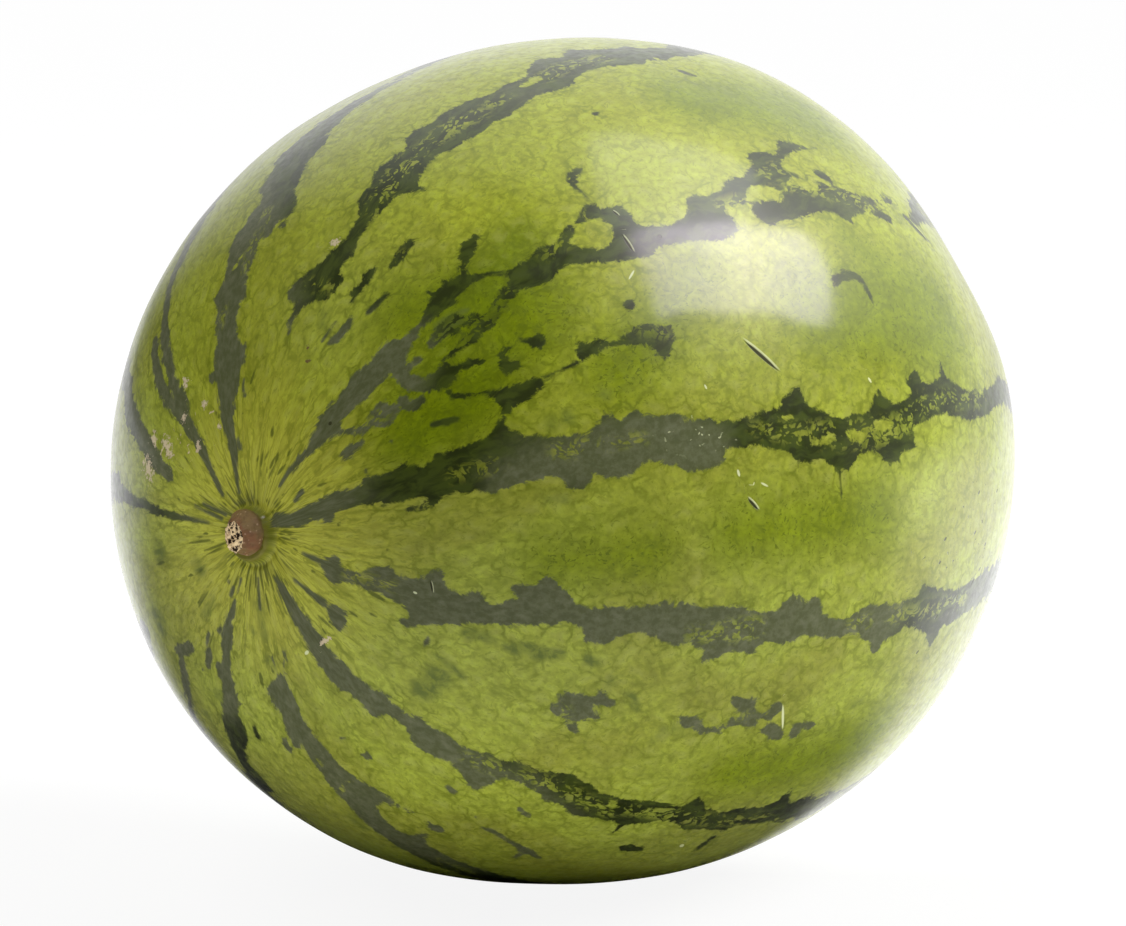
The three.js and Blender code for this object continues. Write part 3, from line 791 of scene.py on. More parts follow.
           (126, -66, 2.6), (142, -68, 3), (156, -66, 2.8), (170, -67, 3)),
    netted((86, -66, 4), (92, -67, 4)),
    netted((140, -67, 4)),
    # Between the back and the top.
    dark((7, -55, 0.5), (10, -49.5, 0.9), (14, -47, 1.3), (18, -48, 1.6), (22.5, -47.5, 2.4)),
    dark((22, -51, 1.6), (27, -53, 1.6), (32, -53.5, 1.6), (36, -52, 1.2)),
    dark((24, -48, 1.6), (32, -48, 1.8), (38, -47.5, 1.4), (44, -46, 1.4), (48, -44, 1.6)),
    stripe((46, -44, 1.2), (56, -42, 2.6), (68, -44, 3.2), (82, -41, 2.6), (96, -43, 3.2), (110, -41, 2.6),
           (124, -43, 3), (138, -41, 2.6), (152, -42, 3), (170, -41, 3)),
    pale((27, -50.6, 0.9), (33, -50.6, 0.8)),
    netted((64, -43, 4), (70, -43.5, 5)),
    netted((110, -42, 4)),
    # Just behind the top.
    dark((5.5, -32, 0.4), (7.3, -27.5, 0.5), (9, -24.8, 0.8), (11.5, -23, 1.4)),
    dark_patch(
        (10.3, -24.3), (15, -27.2), (20.3, -27), (20.7, -29.7), (21.2, -30.5), (21.8, -29.7), (22.3, -27.7),
        (24, -27.5), (25.7, -26.2), (26.7, -27), (30.7, -27), (32.5, -28.2), (34.3, -26.3), (36, -25.7),
        (39.7, -26.2), (41.3, -25.8), (42.7, -25), (43.3, -24.2), (45, -23.8), (45.8, -22.7), (47, -22.2),
        (48.7, -22.8), (49.3, -24.2), (53.3, -23), (54.7, -24), (57, -23), (57, -14.4), (54, -14.3),
        (50.7, -15), (49, -14.3), (47.3, -14.3), (46, -13.7), (45, -12.3), (43, -12), (42.3, -13),
        (41.8, -14.7), (41.4, -13.3), (41.2, -11.2), (40.9, -13), (41, -15), (39.3, -16.3), (40, -17.3),
        (39.3, -18), (32.7, -18.2), (30.7, -17.3), (30.5, -18.3), (30, -19.2), (27.3, -19.3), (24.3, -17),
        (23.8, -14.3), (21.7, -13.7), (21, -12.3), (21.5, -15.3), (20.7, -16.2), (18, -16.3), (17.7, -17.7),
        (16.4, -20), (16, -17.7), (14.7, -20.5), (12.7, -20.3), (10.7, -17), (11.5, -22.3),
    ),
    pale_patch((35.5, -23.7), (36.2, -24), (37, -23), (37.2, -22.2), (36.4, -22.3)),
    pale((37.6, -22.2, 0.3), (38.2, -21.3, 0.3)),
    dark((17.2, -12.2, 0.6), (17.8, -13.4, 0.5), (19.5, -13.8, 0.3)),
    stripe((52, -19, 4), (56, -19, 3.4), (60, -18, 3), (65, -16, 2), (70, -14, 1.4), (80, -15, 2),
           (92, -18, 3), (106, -16, 2.6), (120, -18, 3.2), (136, -16, 2.6), (152, -17, 3), (170, -17, 3)),
    netted((28, -25.4, 1), (30, -24.4, 1)),
    netted((35.5, -19.6, 1.4), (40, -19.2, 1.6)),
    netted((42, -18, 1.4), (44, -19, 1.6)),
    netted((70, -14, 3), (76, -14.5, 3)),
    netted((100, -17, 5)),
    # Loose marks between the stripes.
    dark_patch((32.3, 14.6), (34, 14.9), (35.4, 14.6), (36.3, 15.2), (36.1, 16.9), (32.2, 16)),
    dark((30.9, 15.7, 0.4), (32.6, 15.6, 0.5)),
    dark((25.4, 14, 0.4), (28.2, 14.8, 0.4)),
    dark((25.6, 16.4, 0.5), (26.6, 18, 0.9), (29.4, 18.4, 0.8)),
    dark((37.5, 19, 1), (41, 19, 1.2)),
    dark((31, 21.5, 0.6), (34, 22.5, 0.6)),
    netted((33.4, 15.4, 0.8)),
    netted((39, 19, 1.6)),
    # Stretches of skin: stronger, deeper green, pitted, pale from the soil, or under a waxy film.
    vivid((24, 54, 9), (33, 54, 12)),
    vivid((34, 30, 10), (44, 46, 12)),
    vivid((50, 62, 8), (64, 52, 8)),
    vivid((78, 62, 14), (98, 66, 16)),
    vivid((84, 26, 12), (100, 32, 14)),
    vivid((88, 54, 5), (93, 62, 8), (97, 72, 6)),
    vivid((38, 94, 6), (50, 92, 7)),
    vivid((60, 90, 7), (80, 90, 9)),
    vivid((70, 128, 9), (90, 124, 10)),
    vivid((60, -80, 14), (110, -82, 14)),
    vivid((80, -30, 12), (120, -28, 12)),
    Stroke(Ink.BLOOM, ((8, 34, 14), (26, 34, 12))),
    Stroke(Ink.BLOOM, ((12, -30, 20), (36, -40, 30), (60, -60, 30))),
    Stroke(Ink.BLOOM, ((12, 108, 8), (34, 106, 12), (64, 105, 14), (80, 105, 12))),
    Stroke(Ink.BLOOM, ((12, 160, 20), (50, 160, 24))),
    Stroke(Ink.BLOOM, ((20, 205, 8), (28, 222, 16))),
    Stroke(Ink.BLOOM, ((34, 77, 4), (46, 75, 5), (57, 77, 4))),
    Stroke(Ink.LUSH, ((27, 46, 3), (34, 43, 7), (42, 38, 9), (49, 34, 7))),
    Stroke(Ink.LUSH, ((22, 60, 4), (30, 57, 6), (39, 50, 7))),
    Stroke(Ink.PITTED, ((92, 98, 14), (108, 96, 18))),
    Stroke(Ink.BLOOM, ((44, 122, 6), (60, 120, 6), (77, 118, 6))),
    Stroke(Ink.BLEACHED, ((84, 190, 20), (106, 192, 24))),
)


@dataclass(frozen=True)
class WildStripe:
    """A stripe that wanders by chance, for the part of the back that other stripes leave open."""

    seed: int
    turn: float
    start: float
    end: float
    half_width: float
    spacing: float = 5.5
    wander: float = 2.6

    def strokes(self) -> list[Mark]:
        """The stripe with its spurs and netting: its turn and width change by small seeded steps.

        Returns:
            The stripe itself, a spur at every third place or so, and netting round its middle.
        """
        random = np.random.default_rng(self.seed)
        angles = np.arange(self.start, self.end, self.spacing)
        count = len(angles)
        sway = random.normal(0, self.wander, count + 2)
        turns = self.turn + np.convolve(sway, np.ones(3) / 3, mode="valid")
        widths = self.half_width * random.uniform(0.55, 1.35, count)
        widths[0] = widths[1] * 0.5
        trail = tuple(zip(angles.tolist(), turns.tolist(), widths.tolist()))
        made = [stripe(*trail)]
        for step in random.choice(np.arange(1, count - 1), size=count // 3, replace=False):
            side = random.choice([-1.0, 1.0])
            root = turns[step] + side * widths[step] * 0.6
            tip = turns[step] + side * (widths[step] + random.uniform(1.5, 4.5))
            lean = random.uniform(-1, 1.5)
            made.append(dark((angles[step], root, 1.6), (angles[step] + lean, tip, 0.6)))
        first, last = count // 2 - 3, count // 2 + 3
        made.append(netted((angles[first], turns[first], 5), (angles[last], turns[last], 5)))
        return made


WILD_STRIPES = (
    WildStripe(seed=31, turn=238, start=36, end=172, half_width=3.0),
    WildStripe(seed=47, turn=222, start=40, end=172, half_width=2.0),
    WildStripe(seed=52, turn=-28, start=96, end=150, half_width=1.2),
)


@dataclass(frozen=True)
class RayBurst:
    """Thin dark dashes that point at the stalk, all round it."""

    seed: int = 5
    count: int = 160
    nearest: float = 3.3
    furthest: float = 21.0
    crowding: float = 2.2
    lengths: tuple[float, float] = (0.8, 5.0)
    widths: tuple[float, float] = (0.14, 0.42)
    sparse_turn: float = 40.0

    def strokes(self) -> list[Stroke]:
        """Draws the dashes. Most start close to the stalk, and they are shortest round one turn.

        Returns:
            One stroke for each dash.
        """
        random = np.random.default_rng(self.seed)
        turns = (np.arange(self.count) + random.uniform(-0.5, 0.5, self.count)) * 360 / self.count
        starts = random.uniform(0, 1, self.count) ** self.crowding
        starts = self.nearest + (self.furthest - self.nearest) * starts
        lengths = random.uniform(*self.lengths, self.count)
        widths = random.uniform(*self.widths, self.count) * (0.8 + starts / 26)
        drift = random.normal(0, 1.0, self.count)
        lengths *= 0.7 - 0.3 * np.cos(np.radians(turns - self.sparse_turn))
        return [
            Stroke(
                Ink.RAY,
                (
                    (start, turn, 0.4 * width),
                    (start + 0.4 * length, turn + 0.4 * lean, width),
                    (start + length, turn + lean, 0.3 * width),
                ),
            )
            for turn, start, length, width, lean in zip(turns, starts, lengths, widths, drift)
        ]


@dataclass(frozen=True)
class Skin:
    """Points of the smooth skin: their places, angles and turns."""

    places: Array
    angle: Array
    turn: Array


def smooth_line(trail: Array, steps: int, is_closed: bool) -> Array:
    """Points on a Catmull-Rom curve through each row of a trail.

    Args:
        trail: Rows of numbers, such as angle, turn and half width.
        steps: How many points each span between rows gets.
        is_closed: Whether the last row leads back to the first.

    Returns:
        The curve's points. A closed curve's last point is its first again.
    """
    if is_closed:
        padded = np.vstack([trail[-1], trail, trail[0], trail[1]])
    else:
        padded = np.vstack([2 * trail[0] - trail[1], trail, 2 * trail[-1] - trail[-2]])
    spans = len(padded) - 3
    share = np.linspace(0, 1, steps, endpoint=False)[:, None]
    before, start, end, after = (padded[i : i + spans][:, None] for i in range(4))
    line = 0.5 * (
        2 * start
        + (end - before) * share
        + (2 * before - 5 * start + 4 * end - after) * share**2
        + (3 * start - before - 3 * end + after) * share**3
    )
    return np.vstack([line.reshape(-1, trail.shape[1]), padded[-2]])


# How softly the edge of a stroke of each ink that makes clouds fades, in mm.
FADES: dict[Ink, float] = {
    Ink.NETTED: 1.6,
    Ink.FAINT: 2.0,
    Ink.VIVID: 10.0,
    Ink.SPECKED: 5.0,
    Ink.PITTED: 8.0,
    Ink.BLEACHED: 12.0,
    Ink.LUSH: 7.0,
    Ink.BLOOM: 12.0,
}


@dataclass(frozen=True)
class Pattern:
    """Works out how deep in or far from the pattern each point of the skin is."""

    form: FruitForm
    limit: float = 26.0
    full_ragged: float = 4.6
    least_ragged: float = 0.1
    outline_ragged: float = 0.3
    outline_margin: float = 8.0
    outline_fade: float = 0.7
    steps: int = 4
    outline_steps: int = 3
    stalk_draw: float = 25.0
    blossom_draw: float = 15.0
    out_of_reach: float = 99.0

    def spine(self, stroke: Stroke) -> tuple[Array, Array]:
        """A smooth line along a stroke's trail.

        Args:
            stroke: The stroke.

        Returns:
            The line's places, and its half widths in mm.
        """
        trail = np.array(stroke.trail, float)
        if len(trail) > 1:
            trail = smooth_line(trail, self.steps, is_closed=False)
        widths = trail[:, 2]
        if stroke.wide_in_turn:
            widths = widths * math.radians(1) * self.form.half_width * np.sin(np.radians(trail[:, 0]))
        return self.form.skin(trail[:, 0], trail[:, 1]), widths

    def beside(self, places: Array, line: Array, margin: float) -> Array:
        """Finds the places within a margin of the box round a line.

        Args:
            places: The places to look through.
            line: Places along the line.
            margin: The margin, in mm.

        Returns:
            The numbers of the places that were found.
        """
        low, high = line.min(axis=0) - margin, line.max(axis=0) + margin
        return np.flatnonzero(np.all((places > low) & (places < high), axis=1))

    def along(self, stroke: Stroke, skin: Skin) -> tuple[Array, Array]:
        """How far inside a stroke each point is: half width less distance, largest over its short pieces.

        Args:
            stroke: The stroke.
            skin: Points of the skin.

        Returns:
            The depths in mm, negative outside, and the stroke's half width beside each point.
        """
        spine, widths = self.spine(stroke)
        if len(spine) == 1:
            spine, widths = np.repeat(spine, 2, axis=0), np.repeat(widths, 2)
        depth = np.full(len(skin.places), -self.limit)
        beside = np.full(len(skin.places), float(widths.mean()))
        near = self.beside(skin.places, spine, self.limit + widths.max())
        local = skin.places[near]
        best, best_width = depth[near], beside[near]
        for start, end, first, last in zip(spine[:-1], spine[1:], widths[:-1], widths[1:]):
            step = end - start
            share = np.clip((local - start) @ step / max(float(step @ step), 1e-9), 0, 1)
            width = first + (last - first) * share
            here = width - np.linalg.norm(local - start - share[:, None] * step, axis=1)
            better = here > best
            best, best_width = np.where(better, here, best), np.where(better, width, best_width)
        depth[near], beside[near] = best, best_width
        return depth, beside

    def within(self, outline: Outline, skin: Skin) -> Array:
        """How far inside an outline each point is, in mm, and negative outside.

        The distance is to the nearest short piece of the outline. A point is inside where a line from it
        across the turns meets the outline an odd number of times.

        Args:
            outline: The outline.
            skin: Points of the skin.

        Returns:
            The depths.
        """
        line = smooth_line(np.array(outline.corners, float), self.outline_steps, is_closed=True)
        edge = self.form.skin(line[:, 0], line[:, 1])
        depth = np.full(len(skin.places), -self.limit)
        near = self.beside(skin.places, edge, self.outline_margin)
        local, angle = skin.places[near], skin.angle[near]
        centre = line[:, 1].mean()
        turn = (skin.turn[near] - centre + 180) % 360 - 180 + centre
        gap = np.full(len(near), self.limit**2)
        is_inside = np.zeros(len(near), bool)
        for start, end, (low, left), (high, right) in zip(edge[:-1], edge[1:], line[:-1], line[1:]):
            step = end - start
            share = np.clip((local - start) @ step / max(float(step @ step), 1e-9), 0, 1)
            away = local - start - share[:, None] * step
            gap = np.minimum(gap, (away * away).sum(axis=1))
            if low != high:
                is_beside = (angle > min(low, high)) & (angle <= max(low, high))
                is_inside ^= is_beside & (turn < left + (right - left) * (angle - low) / (high - low))
        depth[near] = np.where(is_inside, 1, -1) * np.sqrt(gap)
        return depth

    def inside(self, mark: Mark, skin: Skin) -> tuple[Array, Array]:
        """How far inside a mark each point is.

        Args:
            mark: A stroke or an outline.
            skin: Points of the skin.

        Returns:
            The depths in mm, and how strongly the mark's edge is broken there, up to 1.
        """
        if isinstance(mark, Outline):
            return self.within(mark, skin), np.full(len(skin.places), self.outline_ragged)
        depth, width = self.along(mark, skin)
        return depth, np.clip(width / self.full_ragged, self.least_ragged, 1)

    def cloud(self, marks: list[Mark], ink: Ink, skin: Skin, softness: float) -> Array:
        """Where the marks of one ink lie.

        Args:
            marks: Marks of every ink.
            ink: The ink.
            skin: Points of the skin.
            softness: How far a stroke's edge fades, in mm. An outline's fades over outline_fade.

        Returns:
            How much each point is covered, from 0 to 1.
        """
        cover = np.zeros(len(skin.places))
        for mark in marks:
            if mark.ink is ink:
                fade = self.outline_fade if isinstance(mark, Outline) else softness
                cover = np.maximum(cover, ease(self.inside(mark, skin)[0], -fade, fade))
        return cover

    def traits(self, skin: Skin) -> dict[str, Array]:
        """Everything that the finish reads at each point of the skin.

        Args:
            skin: The points.

        Returns:
            stripe and rays are how far inside the dark and the thin dashes each point is, in mm. ragged is
            how strongly the dark's edge is broken there. growth is the place on a skin that is drawn in
            towards both ends. from_collar is the distance from the collar's middle. The rest are clouds from
            0 to 1.
        """
        radius = self.form.half_width * np.sin(np.radians(skin.angle))
        wild_marks = [mark for wild in WILD_STRIPES for mark in wild.strokes()]
        marks = [*STRIPES, *wild_marks, *RayBurst().strokes()]
        depth = np.full(len(skin.places), -self.limit)
        ragged = np.full(len(skin.places), 1.0)
        rays = depth
        for mark in marks:
            if mark.ink is Ink.DARK:
                here, edge = self.inside(mark, skin)
                better = here > depth
                depth, ragged = np.where(better, here, depth), np.where(better, edge, ragged)
            elif mark.ink is Ink.RAY:
                rays = np.maximum(rays, self.inside(mark, skin)[0])
        for mark in marks:
            if mark.ink is Ink.PALE:
                depth = np.minimum(depth, -self.inside(mark, skin)[0])
        from_collar = self.form.away(self.form.collar, radius, skin.turn)
        return {
            "stripe": depth,
            "ragged": ragged,
            "rays": rays,
            "growth": self.growth(skin.angle, skin.turn),
            **{ink.value: self.cloud(marks, ink, skin, fade) for ink, fade in FADES.items()},
            # Painted light: how far a point faces up, for a yellower, brighter top, as if lit from above.
            "painted_top_light": ease(np.cos(np.radians(skin.turn)) * np.sin(np.radians(skin.angle)), -0.1, 0.7),
            "near_stalk": 1 - ease(skin.angle, 3, 26),
            "from_collar": np.where(skin.angle < 90, from_collar, self.out_of_reach),
        }

    def growth(self, angle: Array, turn: Array) -> Array:
        """Places for cell patterns: near each end the angle is sqrt(draw^2 + angle^2), so cells get long.

        Args:
            angle: Angles along the fruit, in degrees.
            turn: Turns round it, in degrees.

        Returns:
            The places, one row each, in mm.
        """
        from_stalk = np.hypot(self.stalk_draw, angle)
        from_blossom = 180 - np.hypot(self.blossom_draw, 180 - angle)
        blend = ease(angle, 70, 110)
        drawn = (1 - blend) * from_stalk + blend * from_blossom
        return self.form.directions(drawn, turn) * self.form.size()


# ---------------- finishes ----------------


class Bench:
    """Adds shader nodes to a material or a world and wires them, so a finish reads as a list of steps."""

    def __init__(self, owner: bpy.types.Material | bpy.types.World) -> None:
        """Clears the owner's nodes.

        Args:
            owner: The material or the world.
        """
        owner.use_nodes = True
        self.tree = owner.node_tree
        self.tree.nodes.clear()

    def add(self, kind: str, inputs: Inputs | None = None, **settings: object) -> bpy.types.Node:
        """Adds a node.

        Args:
            kind: The node's type.
            inputs: What goes into its inputs, by their names or numbers: sockets to link or plain values.
            **settings: Values for its properties.

        Returns:
            The node.
        """
        node = self.tree.nodes.new(kind)
        for name, value in settings.items():
            setattr(node, name, value)
        for entry, value in (inputs or {}).items():
            if isinstance(value, bpy.types.NodeSocket):
                self.tree.links.new(value, node.inputs[entry])
            else:
                node.inputs[entry].default_value = value
        return node

    def end(self, kind: str, shader: bpy.types.Node) -> None:
        """Adds the output node and gives it the shader as its surface."""
        self.add(kind, {"Surface": shader.outputs[0]})

    def math(self, operation: str, *values: object, is_clamped: bool = False) -> Socket:
        """What a Math node makes of one to three numbers or sockets."""
        node = self.add("ShaderNodeMath", dict(enumerate(values)), operation=operation, use_clamp=is_clamped)
        return node.outputs[0]

    def times(self, first: object, second: object) -> Socket:
        """The product of two numbers or sockets."""
        return self.math("MULTIPLY", first, second)

    def total(self, *values: object) -> Socket:
        """The sum of several numbers or sockets."""
        return reduce(lambda first, second: self.math("ADD", first, second), values)

    def vector(self, operation: str, *values: object) -> Socket:
        """What a Vector Math node makes of one or two vectors: a vector, or a number where it measures."""
        node = self.add("ShaderNodeVectorMath", dict(enumerate(values)), operation=operation)
        return node.outputs["Value" if operation in ("LENGTH", "DOT_PRODUCT") else "Vector"]

    def scaled(self, vector: Socket, scale: float) -> Socket:
        """A vector times a number."""
        return self.vector("MULTIPLY", vector, (scale, scale, scale))

    def ease(self, value: Socket, low: float, high: float, start: float = 0.0, end: float = 1.0) -> Socket:
        """A smooth step from start, where value is low, to end, where it is high."""
        inputs = dict(enumerate((value, low, high, start, end)))
        return self.add("ShaderNodeMapRange", inputs, interpolation_type="SMOOTHSTEP").outputs[0]

    def choose(self, share: object, first: object, second: object) -> Socket:
        """A number between two: first where share is 0, second where it is 1."""
        return self.add("ShaderNodeMix", {"Factor": share, "A": first, "B": second}).outputs[0]

    def mix(self, share: object, first: object, second: object, blend: str = "MIX") -> Socket:
        """A colour between two: first where share is 0, second where it is 1."""
        inputs = {0: share, 6: first, 7: second}
        return self.add("ShaderNodeMix", inputs, data_type="RGBA", blend_type=blend).outputs[2]

    def grey(self, value: Socket) -> Socket:
        """A grey as bright as a number."""
        return self.add("ShaderNodeCombineColor", {0: value, 1: value, 2: value}).outputs[0]

    def trait(self, name: str, output: str = "Fac") -> Socket:
        """What the mesh keeps at its points under that name."""
        return self.add("ShaderNodeAttribute", attribute_name=name).outputs[output]

    def place(self) -> Socket:
        """Where the point is in the part's frame, in mm."""
        return self.scaled(self.add("ShaderNodeTexCoord").outputs["Object"], 1 / MM)

    def noise(
        self, where: Socket, size: float, detail: float = 2.0, roughness: float = 0.5, output: str = "Fac"
    ) -> Socket:
        """Cloudy noise whose clouds are about size mm across: Fac is one number, and Color is three."""
        inputs = {"Vector": where, "Scale": 1 / size, "Detail": detail, "Roughness": roughness}
        return self.add("ShaderNodeTexNoise", inputs).outputs[output]

    def scatter(self, feature: str, where: Socket, size: float) -> Socket:
        """A distance among scattered points about size mm apart, as a share of that size."""
        inputs = {"Vector": where, "Scale": 1 / size}
        return self.add("ShaderNodeTexVoronoi", inputs, feature=feature).outputs["Distance"]

    def cell_edges(self, where: Socket, size: float) -> Socket:
        """Distance to the nearest edge between cells about size mm across."""
        return self.scatter("DISTANCE_TO_EDGE", where, size)

    def dots(self, where: Socket, size: float) -> Socket:
        """Distance to the nearest of scattered points about size mm apart."""
        return self.scatter("F1", where, size)

    def finish(self, colour: object, roughness: object, height: Socket, **gloss: float) -> None:
        """Ends a material in one Principled shader.

        Args:
            colour: The base colour.
            roughness: The roughness.
            height: The height of the fine relief, in mm.
            **gloss: Plain values for other inputs, with spaces in their names as underscores.
        """
        bump = self.add("ShaderNodeBump", {"Distance": MM, "Height": height})
        inputs = {"Base Color": colour, "Roughness": roughness, "Normal": bump.outputs["Normal"]}
        inputs |= {name.replace("_", " "): value for name, value in gloss.items()}
        self.end("ShaderNodeOutputMaterial", self.add("ShaderNodeBsdfPrincipled", inputs))


class Flaw(Enum):
    """A kind of small blemish on the skin."""

    SCRATCH = "scratch"
    SCAB = "scab"
    BROWN_SCAB = "brown_scab"
    FLECK = "fleck"
    PIT = "pit"


@dataclass(frozen=True)
class Blemish:
    """A small blemish: its place, half length and half width in mm, and how far its length is turned.

    lean is 0 where it is long along the fruit and 90 where it is long round it.
    """

    angle: float
    turn: float
    long: float
    wide: float
    lean: float = 0.0


BLEMISHES: dict[Flaw, tuple[Blemish, ...]] = {
    Flaw.SCRATCH: (
        Blemish(67.4, 66.1, 7.0, 0.7, 54),
        Blemish(59.1, 43.8, 3.2, 0.5, 96),
        Blemish(60.5, 38.7, 1.3, 0.4, 80),
        Blemish(105.8, 53.8, 4.6, 0.5, 52),
        Blemish(62.5, 86, 2.6, 0.5, 48),
        Blemish(24.6, 103, 1.8, 0.3, 70),
    ),
    Flaw.SCAB: (
        Blemish(38, 3, 1.6, 1.1, 30),
        Blemish(23.5, -42.5, 1.7, 1.2, 10),
        Blemish(14.5, -48, 1.3, 1.0, 40),
        Blemish(19.5, -48.5, 1.2, 0.9, 60),
        Blemish(18.5, -36, 1.2, 1.0, 0),
        Blemish(14.5, -30, 1.0, 0.7, 0),
        Blemish(17, -61, 1.8, 1.0, 70),
        Blemish(19.5, -63, 3.4, 1.7, 15),
        Blemish(23, -66, 2.2, 1.4, 60),
        Blemish(22.5, -76, 3.4, 2.4, 30),
        Blemish(16.3, 145.5, 0.8, 1.8, 0),
    ),
    Flaw.BROWN_SCAB: (
        Blemish(23, 9, 1.6, 0.5, 20),
        Blemish(23.6, 11.5, 1.5, 0.5, -40),
        Blemish(22.4, 12.5, 1.1, 0.4, 60),
    ),
    Flaw.FLECK: (
        Blemish(74, 145, 1.2, 0.7, 40),
        Blemish(16.5, 158, 0.9, 0.5, 70),
        Blemish(72.5, 118, 4.6, 0.4, 62),
        Blemish(62, 81, 1.2, 0.4, 30),
        Blemish(22.3, 104.6, 0.9, 0.35, 80),
        Blemish(22.8, 106.2, 0.6, 0.3, 10),
        Blemish(80.6, 71.8, 1.4, 0.4, 20),
        Blemish(82, 72.6, 0.9, 0.4, 60),
        Blemish(57.1, 48.5, 1.7, 0.3, -30),
        Blemish(61, 81.3, 1.0, 0.4, 80),
        Blemish(64.2, 83.5, 1.3, 0.3, 30),
        Blemish(59.3, 68.2, 0.7, 0.3, 80),
    ),
    Flaw.PIT: (
        Blemish(17.5, 34.5, 0.6, 0.5),
        Blemish(63, 45, 0.6, 0.6),
        *(
            Blemish(angle, turn, 0.8, 0.45, -30)
            for angle, turn in (
                (102.5, 90.6), (109, 91.6), (93.3, 98.3), (106, 98.5), (95, 106.2), (92.8, 110.8),
                (103.5, 103.5), (99.5, 104.5), (99.8, 108.2), (94, 95.3), (102, 96), (105.5, 102),
                (109.5, 104),
            )
        ),
    ),
}


def blemish_traits(form: FruitForm, places: Array) -> dict[str, Array]:
    """Where each point of the skin is from the nearest blemish of each kind, in the blemish's own frame.

    The place is measured along the blemish and across it, as shares of its half sizes, so it changes evenly
    over a face and the finish can draw a mark finer than the mesh. It is far off where no blemish is near.

    Args:
        form: The skin's shape.
        places: Points of the skin.

    Returns:
        For each kind, a vector at each point: (along, across, 0).
    """
    far, margin, step = 60.0, 2.7, 0.2
    traits = {flaw.value: np.tile([far, far, 0.0], (len(places), 1)) for flaw in Flaw}
    for flaw, group in BLEMISHES.items():
        trait = traits[flaw.value]
        for blemish in group:
            middle = form.skin(blemish.angle, blemish.turn)
            along = form.skin(blemish.angle + step, blemish.turn) - middle
            along /= np.linalg.norm(along)
            out = form.outwards(middle)
            round_ = np.cross(along, out)
            round_ /= np.linalg.norm(round_)
            lean = math.radians(blemish.lean)
            long = along * math.cos(lean) + round_ * math.sin(lean)
            wide = round_ * math.cos(lean) - along * math.sin(lean)
            local = places - middle
            first, second = local @ long, local @ wide
            near = (np.abs(first) < blemish.long + margin) & (np.abs(second) < blemish.wide + margin)
            near &= local @ out > -form.half_width / 2
            trait[near, 0], trait[near, 1] = first[near] / blemish.long, second[near] / blemish.wide
    return traits


